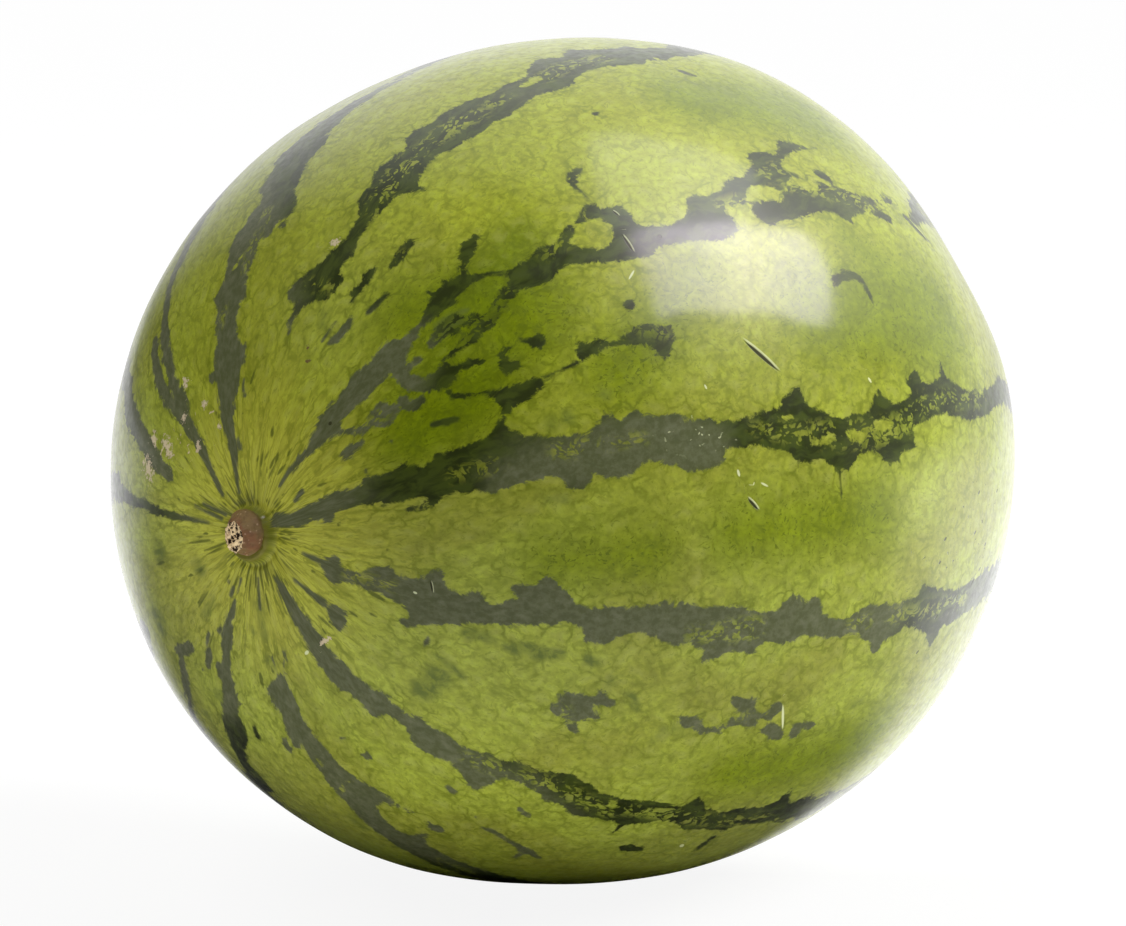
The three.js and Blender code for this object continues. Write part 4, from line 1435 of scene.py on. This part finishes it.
@dataclass(frozen=True)
class RindFinish:
    """The waxy striped skin."""

    olive: Colour = shade(138, 143, 48)
    lime: Colour = shade(148, 158, 52)
    # Painted light: the yellow that the top of the fruit is tinted, as if lit from above.
    top_light_gold: Colour = shade(152, 160, 22)
    strong: Colour = shade(116, 130, 0)
    lush: Colour = shade(102, 118, 4)
    cream: Colour = shade(182, 181, 62)
    ground_spot: Colour = shade(212, 200, 128)
    vein: Colour = shade(86, 98, 4)
    cloud: Colour = shade(94, 106, 40)
    ray: Colour = shade(68, 78, 20)
    collar: Colour = shade(118, 114, 44)
    # Painted shade: the darker green put in the crease round the collar's foot.
    crease: Colour = shade(86, 94, 14)
    stripe_deep: Colour = shade(42, 50, 14)
    stripe_light: Colour = shade(62, 73, 20)
    stripe_bloom: Colour = shade(82, 87, 54)
    stripe_grey: Colour = shade(112, 114, 86)
    film: Colour = shade(160, 164, 84)
    scab: Colour = shade(206, 188, 156)
    brown: Colour = shade(104, 80, 50)
    fleck: Colour = shade(214, 218, 172)
    pit: Colour = shade(52, 52, 24)
    lobe_size: float = 12.0
    vein_size: float = 4.6

    def gap(self, bench: Bench, flaw: Flaw) -> Socket:
        """How far a point is from the nearest blemish of a kind: 0 at its middle, 1 at its rim."""
        return bench.vector("LENGTH", bench.trait(flaw.value, "Vector"))

    def depth(self, bench: Bench, place: Socket, growth: Socket, veins: Socket) -> Socket:
        """How far inside the dark the point is once its edge is broken up, in mm.

        The stripe trait gets soft dark spurs along the edges of large cells and shallow lobes inside them,
        the same again on small cells, and a fine fringe.

        Args:
            bench: The material's nodes.
            place: Where the point is.
            growth: Where it is on the drawn-in skin.
            veins: How far it is from the edges of the small cells.

        Returns:
            The depth.
        """
        lobes = bench.cell_edges(growth, self.lobe_size)
        swing = bench.total(
            bench.ease(lobes, 0.0, 0.16, 0.9, 0.0),
            bench.ease(lobes, 0.05, 0.4, 0.2, -0.7),
            bench.ease(veins, 0.0, 0.2, 0.8, 0.0),
            bench.ease(veins, 0.05, 0.45, 0.2, -0.6),
            bench.math("MULTIPLY_ADD", bench.noise(place, 3.0, 2.0), 3.6, -1.8),
        )
        fringe = bench.math("MULTIPLY_ADD", bench.noise(growth, 1.3, 4.0, 0.75), 3.2, -1.6)
        return bench.total(
            bench.trait("stripe"),
            bench.times(swing, bench.trait("ragged")),
            bench.times(fringe, bench.ease(bench.trait("ragged"), 0.1, 0.3, 0.35, 1.0)),
        )

    def ground(self, bench: Bench, growth: Socket, veins: Socket, grain: Socket, depth: Socket) -> Socket:
        """The colour between the stripes: olive to lime, yellower and brighter towards the top as painted
        light, stronger or paler in places, with a fine green net.

        Args:
            bench: The material's nodes.
            growth: Where the point is on the drawn-in skin.
            veins: How far it is from the edges of the small cells.
            grain: Fine noise.
            depth: How far inside the dark it is.

        Returns:
            The colour.
        """
        patches = bench.ease(bench.noise(growth, 34.0, 2.0), 0.38, 0.62)
        colour = bench.mix(patches, self.olive, self.lime)
        # The first tint is painted light: the top of the fruit turns yellower and brighter, as if lit from
        # above.
        for trait, strength, tint in (
            ("painted_top_light", 0.6, self.top_light_gold),
            ("vivid", 1.0, self.strong),
            ("lush", 0.8, self.lush),
            ("near_stalk", 0.9, self.cream),
            ("bleached", 0.6, self.ground_spot),
        ):
            colour = bench.mix(bench.times(bench.trait(trait), strength), colour, tint)
        mottle = bench.ease(bench.noise(growth, 7.0, 3.0, 0.6), 0.3, 0.7, 0.88, 1.09)
        mottle = bench.times(mottle, bench.ease(grain, 0.3, 0.7, 0.86, 1.12))
        colour = bench.mix(1.0, colour, bench.grey(mottle), blend="MULTIPLY")
        bare = bench.ease(bench.trait("vivid"), 0.0, 1.0, 0.3, 0.0)
        colour = bench.mix(bench.times(bench.ease(veins, 0.12, 0.5), bare), colour, self.film)
        close = bench.ease(depth, -6.0, -0.5, 0.0, 0.2)
        veil = bench.total(bench.ease(bench.noise(growth, 4.0, 3.0, 0.65), 0.4, 0.62, 0.06, 0.42), close)
        net = bench.times(bench.ease(veins, 0.015, 0.15, 1.0, 0.0), veil)
        dots = bench.ease(bench.noise(growth, 1.1, 3.0, 0.7), 0.54, 0.66, 0.0, 0.42)
        dots = bench.times(dots, bench.ease(bench.trait("vivid"), 0.1, 0.9, 1.0, 2.1))
        colour = bench.mix(bench.math("MAXIMUM", net, dots), colour, self.vein)
        clouds = bench.ease(bench.noise(growth, 4.0, 3.0, 0.6), 0.4, 0.6, 0.5, 1.0)
        return bench.mix(bench.times(bench.trait("faint"), clouds), colour, self.cloud)

    def stripe(self, bench: Bench, growth: Socket, veins: Socket, grain: Socket) -> Socket:
        """The colour of the dark: deep green, lighter in long streaks, and greyer under a waxy film.

        Args:
            bench: The material's nodes.
            growth: Where the point is on the drawn-in skin.
            veins: How far it is from the edges of the small cells.
            grain: Fine noise.

        Returns:
            The colour.
        """
        streaks = bench.vector("MULTIPLY", growth, (0.3, 1.0, 1.0))
        inner = bench.ease(bench.noise(streaks, 3.4, 3.0, 0.6), 0.4, 0.62)
        bare = bench.mix(inner, self.stripe_deep, self.stripe_light)
        cells = bench.total(bench.ease(veins, 0.05, 0.4, 0.0, 0.3), bench.ease(grain, 0.34, 0.68, -0.05, 0.4))
        waxed = bench.mix(cells, self.stripe_bloom, self.stripe_grey)
        film = bench.ease(bench.math("ADD", bench.noise(growth, 26.0, 2.0), bench.trait("bloom")), 0.5, 1.1)
        return bench.mix(film, bare, waxed)

    def dress(self) -> bpy.types.Material:
        """Makes the skin's material.

        Returns:
            The material.
        """
        material = bpy.data.materials.new("striped_rind")
        bench = Bench(material)
        place = bench.place()
        plain_growth = bench.trait("growth", "Vector")
        push = bench.vector("SUBTRACT", bench.noise(plain_growth, 7.0, 2.0, output="Color"), (0.5, 0.5, 0.5))
        growth = bench.vector("ADD", plain_growth, bench.scaled(push, 7.0))
        shake = bench.vector("SUBTRACT", bench.noise(place, 1.8, 2.0, output="Color"), (0.5, 0.5, 0.5))
        veins = bench.cell_edges(bench.vector("ADD", growth, bench.scaled(shake, 2.4)), self.vein_size)
        grain = bench.noise(plain_growth, 1.5, 3.0, 0.65)
        depth = self.depth(bench, place, growth, veins)
        colour = self.ground(bench, growth, veins, grain, depth)
        thin = bench.math("MULTIPLY_ADD", grain, 0.7, -0.35)
        ray_share = bench.ease(bench.math("ADD", bench.trait("rays"), thin), -0.2, 0.2, 0.0, 0.74)
        colour = bench.mix(ray_share, colour, self.ray)
        from_collar = bench.math("MULTIPLY_ADD", grain, 0.5, bench.trait("from_collar"))
        # Painted shade: a darker green ring in the crease round the collar's foot.
        colour = bench.mix(bench.ease(from_collar, 6.4, 8.1, 0.7, 0.0), colour, self.crease)
        colour = bench.mix(bench.ease(from_collar, 6.2, 6.8, 0.9, 0.0), colour, self.collar)
        short = bench.vector("MULTIPLY", growth, (0.7, 1.0, 1.0))
        streaked = bench.vector("ADD", short, bench.scaled(shake, 1.6))
        clump = bench.math("MULTIPLY_ADD", bench.noise(streaked, 3.4, 3.0, 0.7), 1.6, -0.8)
        cells = bench.math("ADD", bench.cell_edges(streaked, 1.9), clump)
        flecks = bench.ease(cells, 0.12, 0.26, 0.0, 0.75)
        dark_share = bench.times(
            bench.ease(depth, -0.42, 0.42),
            bench.math("SUBTRACT", 1.0, bench.times(flecks, bench.trait("netted"))),
        )
        colour = bench.mix(dark_share, colour, self.stripe(bench, growth, veins, grain))
        scatter = bench.math("MULTIPLY_ADD", grain, 0.4, bench.dots(streaked, 2.0))
        specks = bench.times(bench.ease(scatter, 0.28, 0.38, 1.0, 0.0), bench.trait("specked"))
        pits = bench.times(bench.ease(scatter, 0.24, 0.32, 1.0, 0.0), bench.trait("pitted"))
        crumble = bench.math("MULTIPLY_ADD", bench.noise(place, 0.9, 3.0, 0.7), 5.0, -2.4)
        scab = bench.ease(bench.math("ADD", self.gap(bench, Flaw.SCAB), crumble), 0.75, 1.0, 1.0, 0.0)
        brown = bench.ease(bench.math("ADD", self.gap(bench, Flaw.BROWN_SCAB), crumble), 0.75, 1.0, 1.0, 0.0)
        scratch = bench.trait(Flaw.SCRATCH.value, "Vector")
        groove = bench.ease(bench.vector("LENGTH", scratch), 0.55, 0.85, 1.0, 0.0)
        # Along one side of each scratch a pale, raised, rough ridge: partly a real burr, its pale colour a
        # painted highlight on the lit edge.
        beside = bench.vector("LENGTH", bench.vector("ADD", scratch, (0.0, 0.75, 0.0)))
        burr_and_highlight = bench.ease(beside, 0.6, 0.95, 1.0, 0.0)
        fleck = bench.math("MAXIMUM", bench.ease(self.gap(bench, Flaw.FLECK), 0.7, 1.0, 1.0, 0.0), specks)
        pit = bench.math("MAXIMUM", bench.ease(self.gap(bench, Flaw.PIT), 0.7, 1.0, 1.0, 0.0), pits)
        for share, strength, tint in (
            (scab, 0.85, self.scab),
            (brown, 0.85, self.brown),
            (burr_and_highlight, 0.55, self.fleck),
            (groove, 0.95, self.pit),
            (fleck, 0.75, self.fleck),
            (pit, 0.85, self.pit),
        ):
            colour = bench.mix(bench.times(share, strength), colour, tint)
        flaws = bench.math("MAXIMUM", bench.math("MAXIMUM", scab, brown), burr_and_highlight)
        gloss = bench.ease(bench.noise(place, 2.2, 3.0, 0.6), 0.3, 0.7, 0.3, 0.42)
        roughness = bench.math("ADD", gloss, bench.times(flaws, 0.3))
        height = bench.total(
            bench.times(bench.noise(place, 9.0, 2.0), 0.12),
            bench.times(grain, 0.035),
            bench.times(flaws, 0.15),
            bench.times(groove, -0.4),
            bench.times(pit, -0.12),
        )
        bench.finish(
            colour, roughness, height, IOR=1.5, Specular_IOR_Level=0.28, Coat_Weight=0.5, Coat_Roughness=0.13
        )
        return material


@dataclass
class FruitSkin:
    """The whole fruit's surface: rings from the stalk to the blossom, close together where detail is finest.

    pole_radius, stalk_end and blossom_start are distances from the fruit's axis, in mm. The rim's rings run
    from rim_inside within the collar's lip to rim_outside past its foot. near_end and the steps are degrees.
    """

    form: FruitForm
    near_turns: tuple[float, float] = (-78.0, 216.0)
    near_sides: int = 402
    far_sides: int = 36
    collar_rings: int = 4
    rim_rings: int = 22
    stalk_rings: int = 20
    stalk_end: float = 24.0
    near_end: float = 106.0
    near_step: float = 0.74
    far_step: float = 1.85
    blossom_start: float = 18.0
    blossom_rings: int = 18
    pole_radius: float = 0.8
    rim_inside: float = 2.3
    rim_outside: float = 3.4
    middle: Array = field(default_factory=lambda: np.zeros(3))

    def ring_angles(self) -> Array:
        """Spaces the rings: evenly in radius near both ends, near_step apart, and far_step past near_end.

        Returns:
            The rings' angles, in degrees.
        """
        rim_start = self.form.collar.lip_radius - self.rim_inside
        rim_end = self.form.collar.foot_radius + self.rim_outside
        near = np.concatenate(
            [
                np.linspace(self.pole_radius, rim_start, self.collar_rings, endpoint=False),
                np.linspace(rim_start, rim_end, self.rim_rings, endpoint=False),
                np.linspace(rim_end, self.stalk_end, self.stalk_rings, endpoint=False),
            ]
        )
        far = np.linspace(self.blossom_start, self.pole_radius, self.blossom_rings)
        start = math.degrees(math.asin(self.stalk_end / self.form.half_width))
        end = 180 - math.degrees(math.asin(self.blossom_start / self.form.half_width))
        near_rings = round((self.near_end - start) / self.near_step)
        far_rings = round((end - self.near_end) / self.far_step)
        return np.concatenate(
            [
                np.degrees(np.arcsin(near / self.form.half_width)),
                np.linspace(start, self.near_end, near_rings, endpoint=False),
                np.linspace(self.near_end, end, far_rings, endpoint=False),
                180 - np.degrees(np.arcsin(far / self.form.half_width)),
            ]
        )

    def ring_turns(self) -> Array:
        """Spaces each ring's points: close together over near_turns, and wider apart round the back.

        Returns:
            The points' turns, in degrees.
        """
        start, end = self.near_turns
        near = np.linspace(start, end, self.near_sides, endpoint=False)
        far = np.linspace(end, start + 360, self.far_sides, endpoint=False)
        return np.concatenate([near, far])

    def build(self) -> bpy.types.Object:
        """Makes the skin, placed where the solid fruit is.

        Returns:
            The new piece.
        """
        rings, turns = self.ring_angles(), self.ring_turns()
        ring_angle, ring_turn = np.meshgrid(rings, turns, indexing="ij")
        angle = np.append(ring_angle.ravel(), [0.01, 179.99])
        turn = np.append(ring_turn.ravel(), [0.0, 0.0])
        smooth = self.form.skin(angle, turn)
        low, high = (np.array(corner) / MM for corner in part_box(FRUIT_NODE))
        off_centre = (smooth.min(axis=0) + smooth.max(axis=0)) / 2
        self.middle = (low + high) / 2 - off_centre
        self.middle[2] = low[2] + self.form.rest_height
        relief = self.form.waves(smooth) + self.form.furrows(angle, turn)
        places = self.form.seated(smooth + relief[:, None] * self.form.outwards(smooth)) + self.middle
        traits = Pattern(self.form).traits(Skin(smooth, angle, turn)) | blemish_traits(self.form, smooth)
        piece = make_piece("watermelon_skin", places * MM, shell_faces(len(rings), len(turns)), traits)
        piece.data.materials.append(RindFinish().dress())
        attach(piece, BODY)
        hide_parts(FRUIT_NODE)
        return piece


# ---------------- the stalk's stub ----------------


@dataclass(frozen=True)
class StubFinish:
    """Dry brown stalk with a torn, corky end."""

    bark: Colour = shade(124, 100, 58)
    bark_red: Colour = shade(126, 84, 50)
    bark_dark: Colour = shade(92, 66, 38)
    foot: Colour = shade(116, 104, 52)
    cork: Colour = shade(226, 200, 156)
    # The dark brown of painted shade: in a painted recess on the stub's side, and in the low pits of the torn
    # end.
    cork_pit_and_recess_shade: Colour = shade(50, 34, 20)
    speck: Colour = shade(186, 158, 122)

    def dress(self) -> bpy.types.Material:
        """Makes the stub's material.

        Returns:
            The material.
        """
        material = bpy.data.materials.new("dry_stalk_bark")
        bench = Bench(material)
        place = bench.place()
        broad = bench.ease(bench.noise(place, 3.4, 2.0), 0.38, 0.62)
        colour = bench.mix(broad, self.bark, self.bark_red)
        streak = bench.ease(bench.noise(place, 0.9, 3.0, 0.6), 0.45, 0.7)
        colour = bench.mix(bench.times(streak, 0.5), colour, self.bark_dark)
        specks = bench.ease(bench.dots(place, 1.5), 0.12, 0.22, 1.0, 0.0)
        colour = bench.mix(bench.times(specks, 0.5), colour, self.speck)
        colour = bench.mix(bench.trait("foot"), colour, self.foot)
        # Painted shade: a dark brown spot on the stub's side, where a recess would lie in shadow.
        colour = bench.mix(bench.trait("painted_recess_shade"), colour, self.cork_pit_and_recess_shade)
        # The low places of the torn end are darker: partly the cork's own dark pits, partly painted shade in
        # them.
        pits = bench.math("MULTIPLY_ADD", bench.trait("cork_height"), 0.22, bench.noise(place, 0.9, 2.0, 0.6))
        cork = bench.mix(bench.ease(pits, 0.4, 0.52), self.cork_pit_and_recess_shade, self.cork)
        frayed = bench.math("MULTIPLY_ADD", bench.noise(place, 1.1, 2.0), 1.6, bench.trait("torn"))
        colour = bench.mix(bench.ease(frayed, 1.1, 1.4), colour, cork)
        height = bench.times(bench.noise(place, 0.5, 3.0, 0.6), 0.08)
        roughness = bench.ease(bench.trait("torn"), 0.0, 1.0, 0.6, 0.95)
        bench.finish(colour, roughness, height, IOR=1.45)
        return material


@dataclass
class StalkStub:
    """The stub: flared where it sits in the collar, narrower at its torn tip, and leaning back and down.

    Each set of ribs is how many there are in a turn, their phase and their height.
    """

    form: FruitForm
    middle: Array
    length: float = 4.5
    base_radius: float = 5.3
    tip_radius: float = 3.5
    sink: float = 0.6
    seat_up: float = 0.9
    lean_back: float = 0.5
    lean_down: float = 0.8
    tip_slope: float = 0.35
    ribs: tuple[tuple[float, float, float], ...] = ((9, 0.7, 0.12), (17, 2.0, 0.08))
    tear_pitches: tuple[float, ...] = (1.5, 2.1, 3.0, 4.2)
    tear_height: float = 0.42
    # Painted shade: the turn round the stub where the dark spot of a shadowed recess is painted.
    painted_recess_turn: float = 315.0
    sides: int = 120
    side_rings: int = 44
    tip_rings: int = 26
    seed: int = 3

    def tear(self, across: Array, up: Array) -> Array:
        """The torn end's relief: broken ridges from products of seeded sines, with deep pits between them.

        Args:
            across: Points' distances from the stub's middle, towards the back.
            up: Their distances upwards.

        Returns:
            The height at each point.
        """
        random = np.random.default_rng(self.seed)
        height = np.zeros(across.shape)
        for pitch in self.tear_pitches:
            turn = random.uniform(0, np.pi)
            phase = random.uniform(0, 2 * np.pi, 2)
            first = np.sin(pitch * (across * math.cos(turn) + up * math.sin(turn)) + phase[0])
            second = np.sin(pitch * (up * math.cos(turn) - across * math.sin(turn)) + phase[1])
            height += self.tear_height * first * second / pitch**0.35
        return height

    def build(self) -> bpy.types.Object:
        """Makes the stub in place on the fruit's collar.

        Along the side, the radius is tip + (base - tip) * sin(down * pi / 2), where down goes from 0 at the
        tip to 1 at the seat, with fine ribs. The end is a disc, raised by the tear. Both lean by the square
        of the height.

        Returns:
            The new piece.
        """
        down = np.linspace(1, 0, self.side_rings)
        rise = np.concatenate([1 - down, np.ones(self.tip_rings - 1)])
        side_radius = self.tip_radius + (self.base_radius - self.tip_radius) * np.sin(down * np.pi / 2)
        tip_radius = self.tip_radius * np.linspace(1, 0.04, self.tip_rings)[1:]
        turn = np.arange(self.sides) * 2 * np.pi / self.sides
        radius = np.concatenate([side_radius, tip_radius])[:, None] * np.ones(self.sides)
        rise = rise[:, None] * np.ones(self.sides)
        is_tip = np.arange(len(radius))[:, None] >= self.side_rings
        ribs = sum(height * np.sin(count * turn + phase) for count, phase, height in self.ribs)
        bulge = 0.35 * hump(rise, 0.22, 0.2) - 0.2 * hump(rise, 0.75, 0.2)
        radius = radius + np.where(is_tip, 0, 1) * (ribs * (0.3 + rise) + bulge)
        across, up = -radius * np.sin(turn), radius * np.cos(turn)
        round_off = 0.35 * ease(radius, 0.7 * self.tip_radius, self.tip_radius) * ease(rise, 0.9, 1)
        tear = self.tear(across, up) * ease(rise, 0.86, 1) * (1 - 0.6 * ease(radius, 2.6, 3.5))
        along = -(self.length + self.sink) * rise + self.sink + round_off - tear
        along = along + self.tip_slope * across * rise
        across, up = across + self.lean_back * rise**2, up - self.lean_down * rise**2
        places = np.stack([along, across, up], axis=-1).reshape(-1, 3)
        seat = np.array([[self.sink, 0.0, 0.0]])
        tip = places[-self.sides :].mean(axis=0, keepdims=True)
        places = np.vstack([places, seat, tip])
        collar = self.form.collar
        axis = np.array(0.0)
        collar_top = -float(self.form.reach(self.form.stalk_hollow, collar, axis, axis))
        places += self.middle + np.array([collar_top, collar.back, self.seat_up - collar.down])
        torn = np.where(is_tip, 1, ease(rise, 0.84, 0.98)) * (radius > 0)
        # Painted shade: where on the stub's side the dark spot of a shadowed recess is painted.
        painted_recess_shade = hump(turn[None, :], math.radians(self.painted_recess_turn), 0.3) * hump(rise, 0.78, 0.12)
        painted_recess_shade = np.where(is_tip, 0, painted_recess_shade)
        ends = {"torn": (0, 1), "foot": (1, 0), "painted_recess_shade": (0, 0), "cork_height": (0, 0)}
        values = {
            "torn": torn,
            "foot": 0.8 * (1 - ease(rise, 0.02, 0.3)),
            "painted_recess_shade": painted_recess_shade,
            "cork_height": tear,
        }
        traits = {name: np.append(value.ravel(), ends[name]) for name, value in values.items()}
        faces = [face[::-1] for face in shell_faces(len(radius), self.sides)]
        piece = make_piece("stalk_stub_bark", places * MM, faces, traits)
        piece.data.materials.append(StubFinish().dress())
        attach(piece, BODY)
        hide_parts(STUB_NODE)
        return piece


# ---------------- the studio ----------------


@dataclass(frozen=True)
class Softbox:
    """A rectangular lamp, aimed at the fruit from a side of the camera and a height above the horizon.

    One that isn't mirrored lights the skin and leaves no highlight. One that isn't diffuse leaves only a
    highlight.
    """

    name: str
    side: float
    height: float
    distance: float
    width: float
    tall: float
    radiance: float
    roll: float = 0.0
    tint: tuple[float, float, float] = (1.0, 1.0, 1.0)
    mirrored: bool = True
    diffuse: bool = True


@dataclass
class Studio:
    """Camera, lamps, pale surroundings and a white floor.

    The camera's lens and sensor are in mm, and its picture is moved by frame_shift of its frame_width dots.
    """

    middle: Array
    azimuth: float = -54.31
    elevation: float = 9.07
    distance: float = 1300.0
    lens: float = 161.2
    sensor: float = 36.0
    frame_width: float = 1126.0
    frame_shift: float = -4.8
    floor_size: float = 14.0
    floor_drop: float = 0.2
    floor_veil: float = 0.9
    floor_glow: float = 0.55
    floor_bounce: float = 1.3
    dim_front: float = 0.025
    bright_back: float = 0.88
    mirrored_back: float = 1.45
    bright_side: tuple[float, float] = (160, 36)
    glow_side: tuple[float, float] = (-15, 0)
    softboxes: tuple[Softbox, ...] = (
        Softbox("window_right", 82.5, 47, 1.3, 0.94, 0.5, 10.6, -38, tint=(0.95, 0.84, 1.0), diffuse=False),
        Softbox("overhead", 106, 63, 1.4, 0.8, 0.7, 3.0, diffuse=False),
        Softbox("fill_window", 84, 41, 1.4, 1.0, 0.8, 9.0, mirrored=False),
        Softbox("fill_left", -75, 54, 1.6, 1.2, 1.2, 2.8, mirrored=False),
        Softbox("fill_front", 6, 4, 1.8, 1.4, 1.0, 0.15, mirrored=False),
    )

    def sideways(self) -> tuple[Vector, Vector]:
        """Level directions from the fruit towards the camera, and to the camera's right."""
        turn = math.radians(self.azimuth)
        return Vector((math.sin(turn), -math.cos(turn), 0)), Vector((math.cos(turn), math.sin(turn), 0))

    def aim(self, side: float, height: float) -> Vector:
        """A direction out from the fruit.

        Args:
            side: Degrees to the camera's right.
            height: Degrees above the horizon.

        Returns:
            The unit direction.
        """
        towards, right = self.sideways()
        level = towards * math.cos(math.radians(side)) + right * math.sin(math.radians(side))
        return level * math.cos(math.radians(height)) + Vector((0, 0, math.sin(math.radians(height))))

    def place_camera(self) -> None:
        """Puts the camera at its distance, looking at the middle of the fruit."""
        camera = bpy.data.cameras.new("camera")
        camera.lens, camera.sensor_width, camera.sensor_fit = self.lens, self.sensor, "HORIZONTAL"
        camera.shift_x = self.frame_shift / self.frame_width
        camera.clip_start, camera.clip_end = 0.05, 50.0
        back = self.aim(0, self.elevation)
        viewer = bpy.data.objects.new("camera", camera)
        viewer.location = (Vector(self.middle) + back * self.distance) * MM
        viewer.rotation_mode = "QUATERNION"
        viewer.rotation_quaternion = (-back).to_track_quat("-Z", "Y")
        bpy.context.scene.collection.objects.link(viewer)
        bpy.context.scene.camera = viewer

    def place_softboxes(self) -> None:
        """Hangs each lamp at its distance, facing the fruit. Power is radiance * pi * area."""
        for box in self.softboxes:
            lamp = bpy.data.lights.new(box.name, "AREA")
            lamp.shape, lamp.size, lamp.size_y = "RECTANGLE", box.width, box.tall
            lamp.energy = box.radiance * math.pi * box.width * box.tall
            lamp.color = box.tint
            out = self.aim(box.side, box.height)
            stand = bpy.data.objects.new(box.name, lamp)
            stand.location = Vector(self.middle) * MM + out * box.distance
            stand.rotation_mode = "QUATERNION"
            level = (-out).to_track_quat("-Z", "Y")
            stand.rotation_quaternion = Quaternion(out, math.radians(box.roll)) @ level
            stand.visible_glossy = box.mirrored
            stand.visible_diffuse = box.diffuse
            stand.visible_camera = False
            bpy.context.scene.collection.objects.link(stand)

    def light_room(self) -> None:
        """Surroundings that are dim where the camera stands, bright behind the fruit, and pale to the eye."""
        world = bpy.data.worlds.new("room")
        bench = Bench(world)
        ray = bench.add("ShaderNodeLightPath").outputs
        heading = bench.add("ShaderNodeTexCoord").outputs["Generated"]
        facing = bench.vector("DOT_PRODUCT", heading, self.aim(*self.bright_side))
        plain = bench.ease(facing, 0.25, 0.65, self.dim_front, self.bright_back)
        mirrored = bench.ease(facing, 0.52, 0.8, self.dim_front, self.mirrored_back)
        strength = bench.choose(ray["Is Glossy Ray"], plain, mirrored)
        seen = bench.math("MAXIMUM", strength, ray["Is Camera Ray"])
        bench.end("ShaderNodeOutputWorld", bench.add("ShaderNodeBackground", {"Strength": seen}))
        bpy.context.scene.world = world

    def paint_floor(self) -> bpy.types.Material:
        """The floor's paint. What it sends to the skin and what is mirrored in the skin are set apart.

        Returns:
            The material.
        """
        material = bpy.data.materials.new("white_floor")
        bench = Bench(material)
        ray = bench.add("ShaderNodeLightPath").outputs
        place = bench.add("ShaderNodeTexCoord").outputs["Object"]
        forwards = bench.vector("DOT_PRODUCT", place, self.sideways()[0])
        bearing = bench.vector("DOT_PRODUCT", bench.vector("NORMALIZE", place), self.aim(*self.glow_side))
        away = bench.vector("LENGTH", place)
        base = bench.ease(forwards, 0.05, 0.15, 0.93, 0.6)
        dimmed = bench.ease(bearing, -0.6, -0.05, 0.0, -0.85)
        glow = bench.ease(bearing, -0.65, -0.1, self.floor_glow, 0.0)
        bounce = bench.times(
            bench.ease(away, 0.09, 0.17, 0.0, self.floor_bounce), bench.ease(away, 0.16, 0.36, 1.0, 0.25)
        )
        inputs = {
            "Base Color": bench.math("MULTIPLY_ADD", dimmed, ray["Is Glossy Ray"], base, is_clamped=True),
            "Roughness": 1.0,
            "Specular IOR Level": 0.0,
            "Emission Color": (1.0, 1.0, 1.0, 1.0),
            "Emission Strength": bench.choose(ray["Is Diffuse Ray"], glow, bounce),
        }
        paint = bench.add("ShaderNodeBsdfPrincipled", inputs).outputs[0]
        white = bench.add("ShaderNodeEmission").outputs[0]
        seen = bench.times(ray["Is Camera Ray"], self.floor_veil)
        bench.end("ShaderNodeOutputMaterial", bench.add("ShaderNodeMixShader", {0: seen, 1: paint, 2: white}))
        return material

    def lay_floor(self) -> None:
        """A wide white floor just under the fruit, whose shadow is fainter than the light it sends back."""
        half, drop = self.floor_size / 2, -self.floor_drop * MM
        corners = [(-half, -half, drop), (half, -half, drop), (half, half, drop), (-half, half, drop)]
        mesh = bpy.data.meshes.new("floor")
        mesh.from_pydata(corners, [], [(0, 1, 2, 3)])
        mesh.materials.append(self.paint_floor())
        floor = bpy.data.objects.new("floor", mesh)
        bpy.context.scene.collection.objects.link(floor)

    def build(self) -> None:
        """Sets up the whole studio, with colours shown as they are."""
        self.place_camera()
        self.place_softboxes()
        self.light_room()
        self.lay_floor()
        bpy.context.scene.view_settings.view_transform = "Standard"


def main() -> None:
    """Builds the skin, the stub and the studio."""
    logging.basicConfig(level=logging.INFO, format="%(name)s: %(message)s")
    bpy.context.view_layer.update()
    form = FruitForm()
    skin = FruitSkin(form)
    pieces = [skin.build()]
    pieces.append(StalkStub(form, skin.middle).build())
    for piece in pieces:
        log.info("%s: %d points, %d faces", piece.name, len(piece.data.vertices), len(piece.data.polygons))
    Studio(skin.middle).build()
    bpy.context.view_layer.update()
    log.info("middle of the fruit at %s mm", np.round(skin.middle, 2).tolist())


if __name__ == "__main__":
    main()
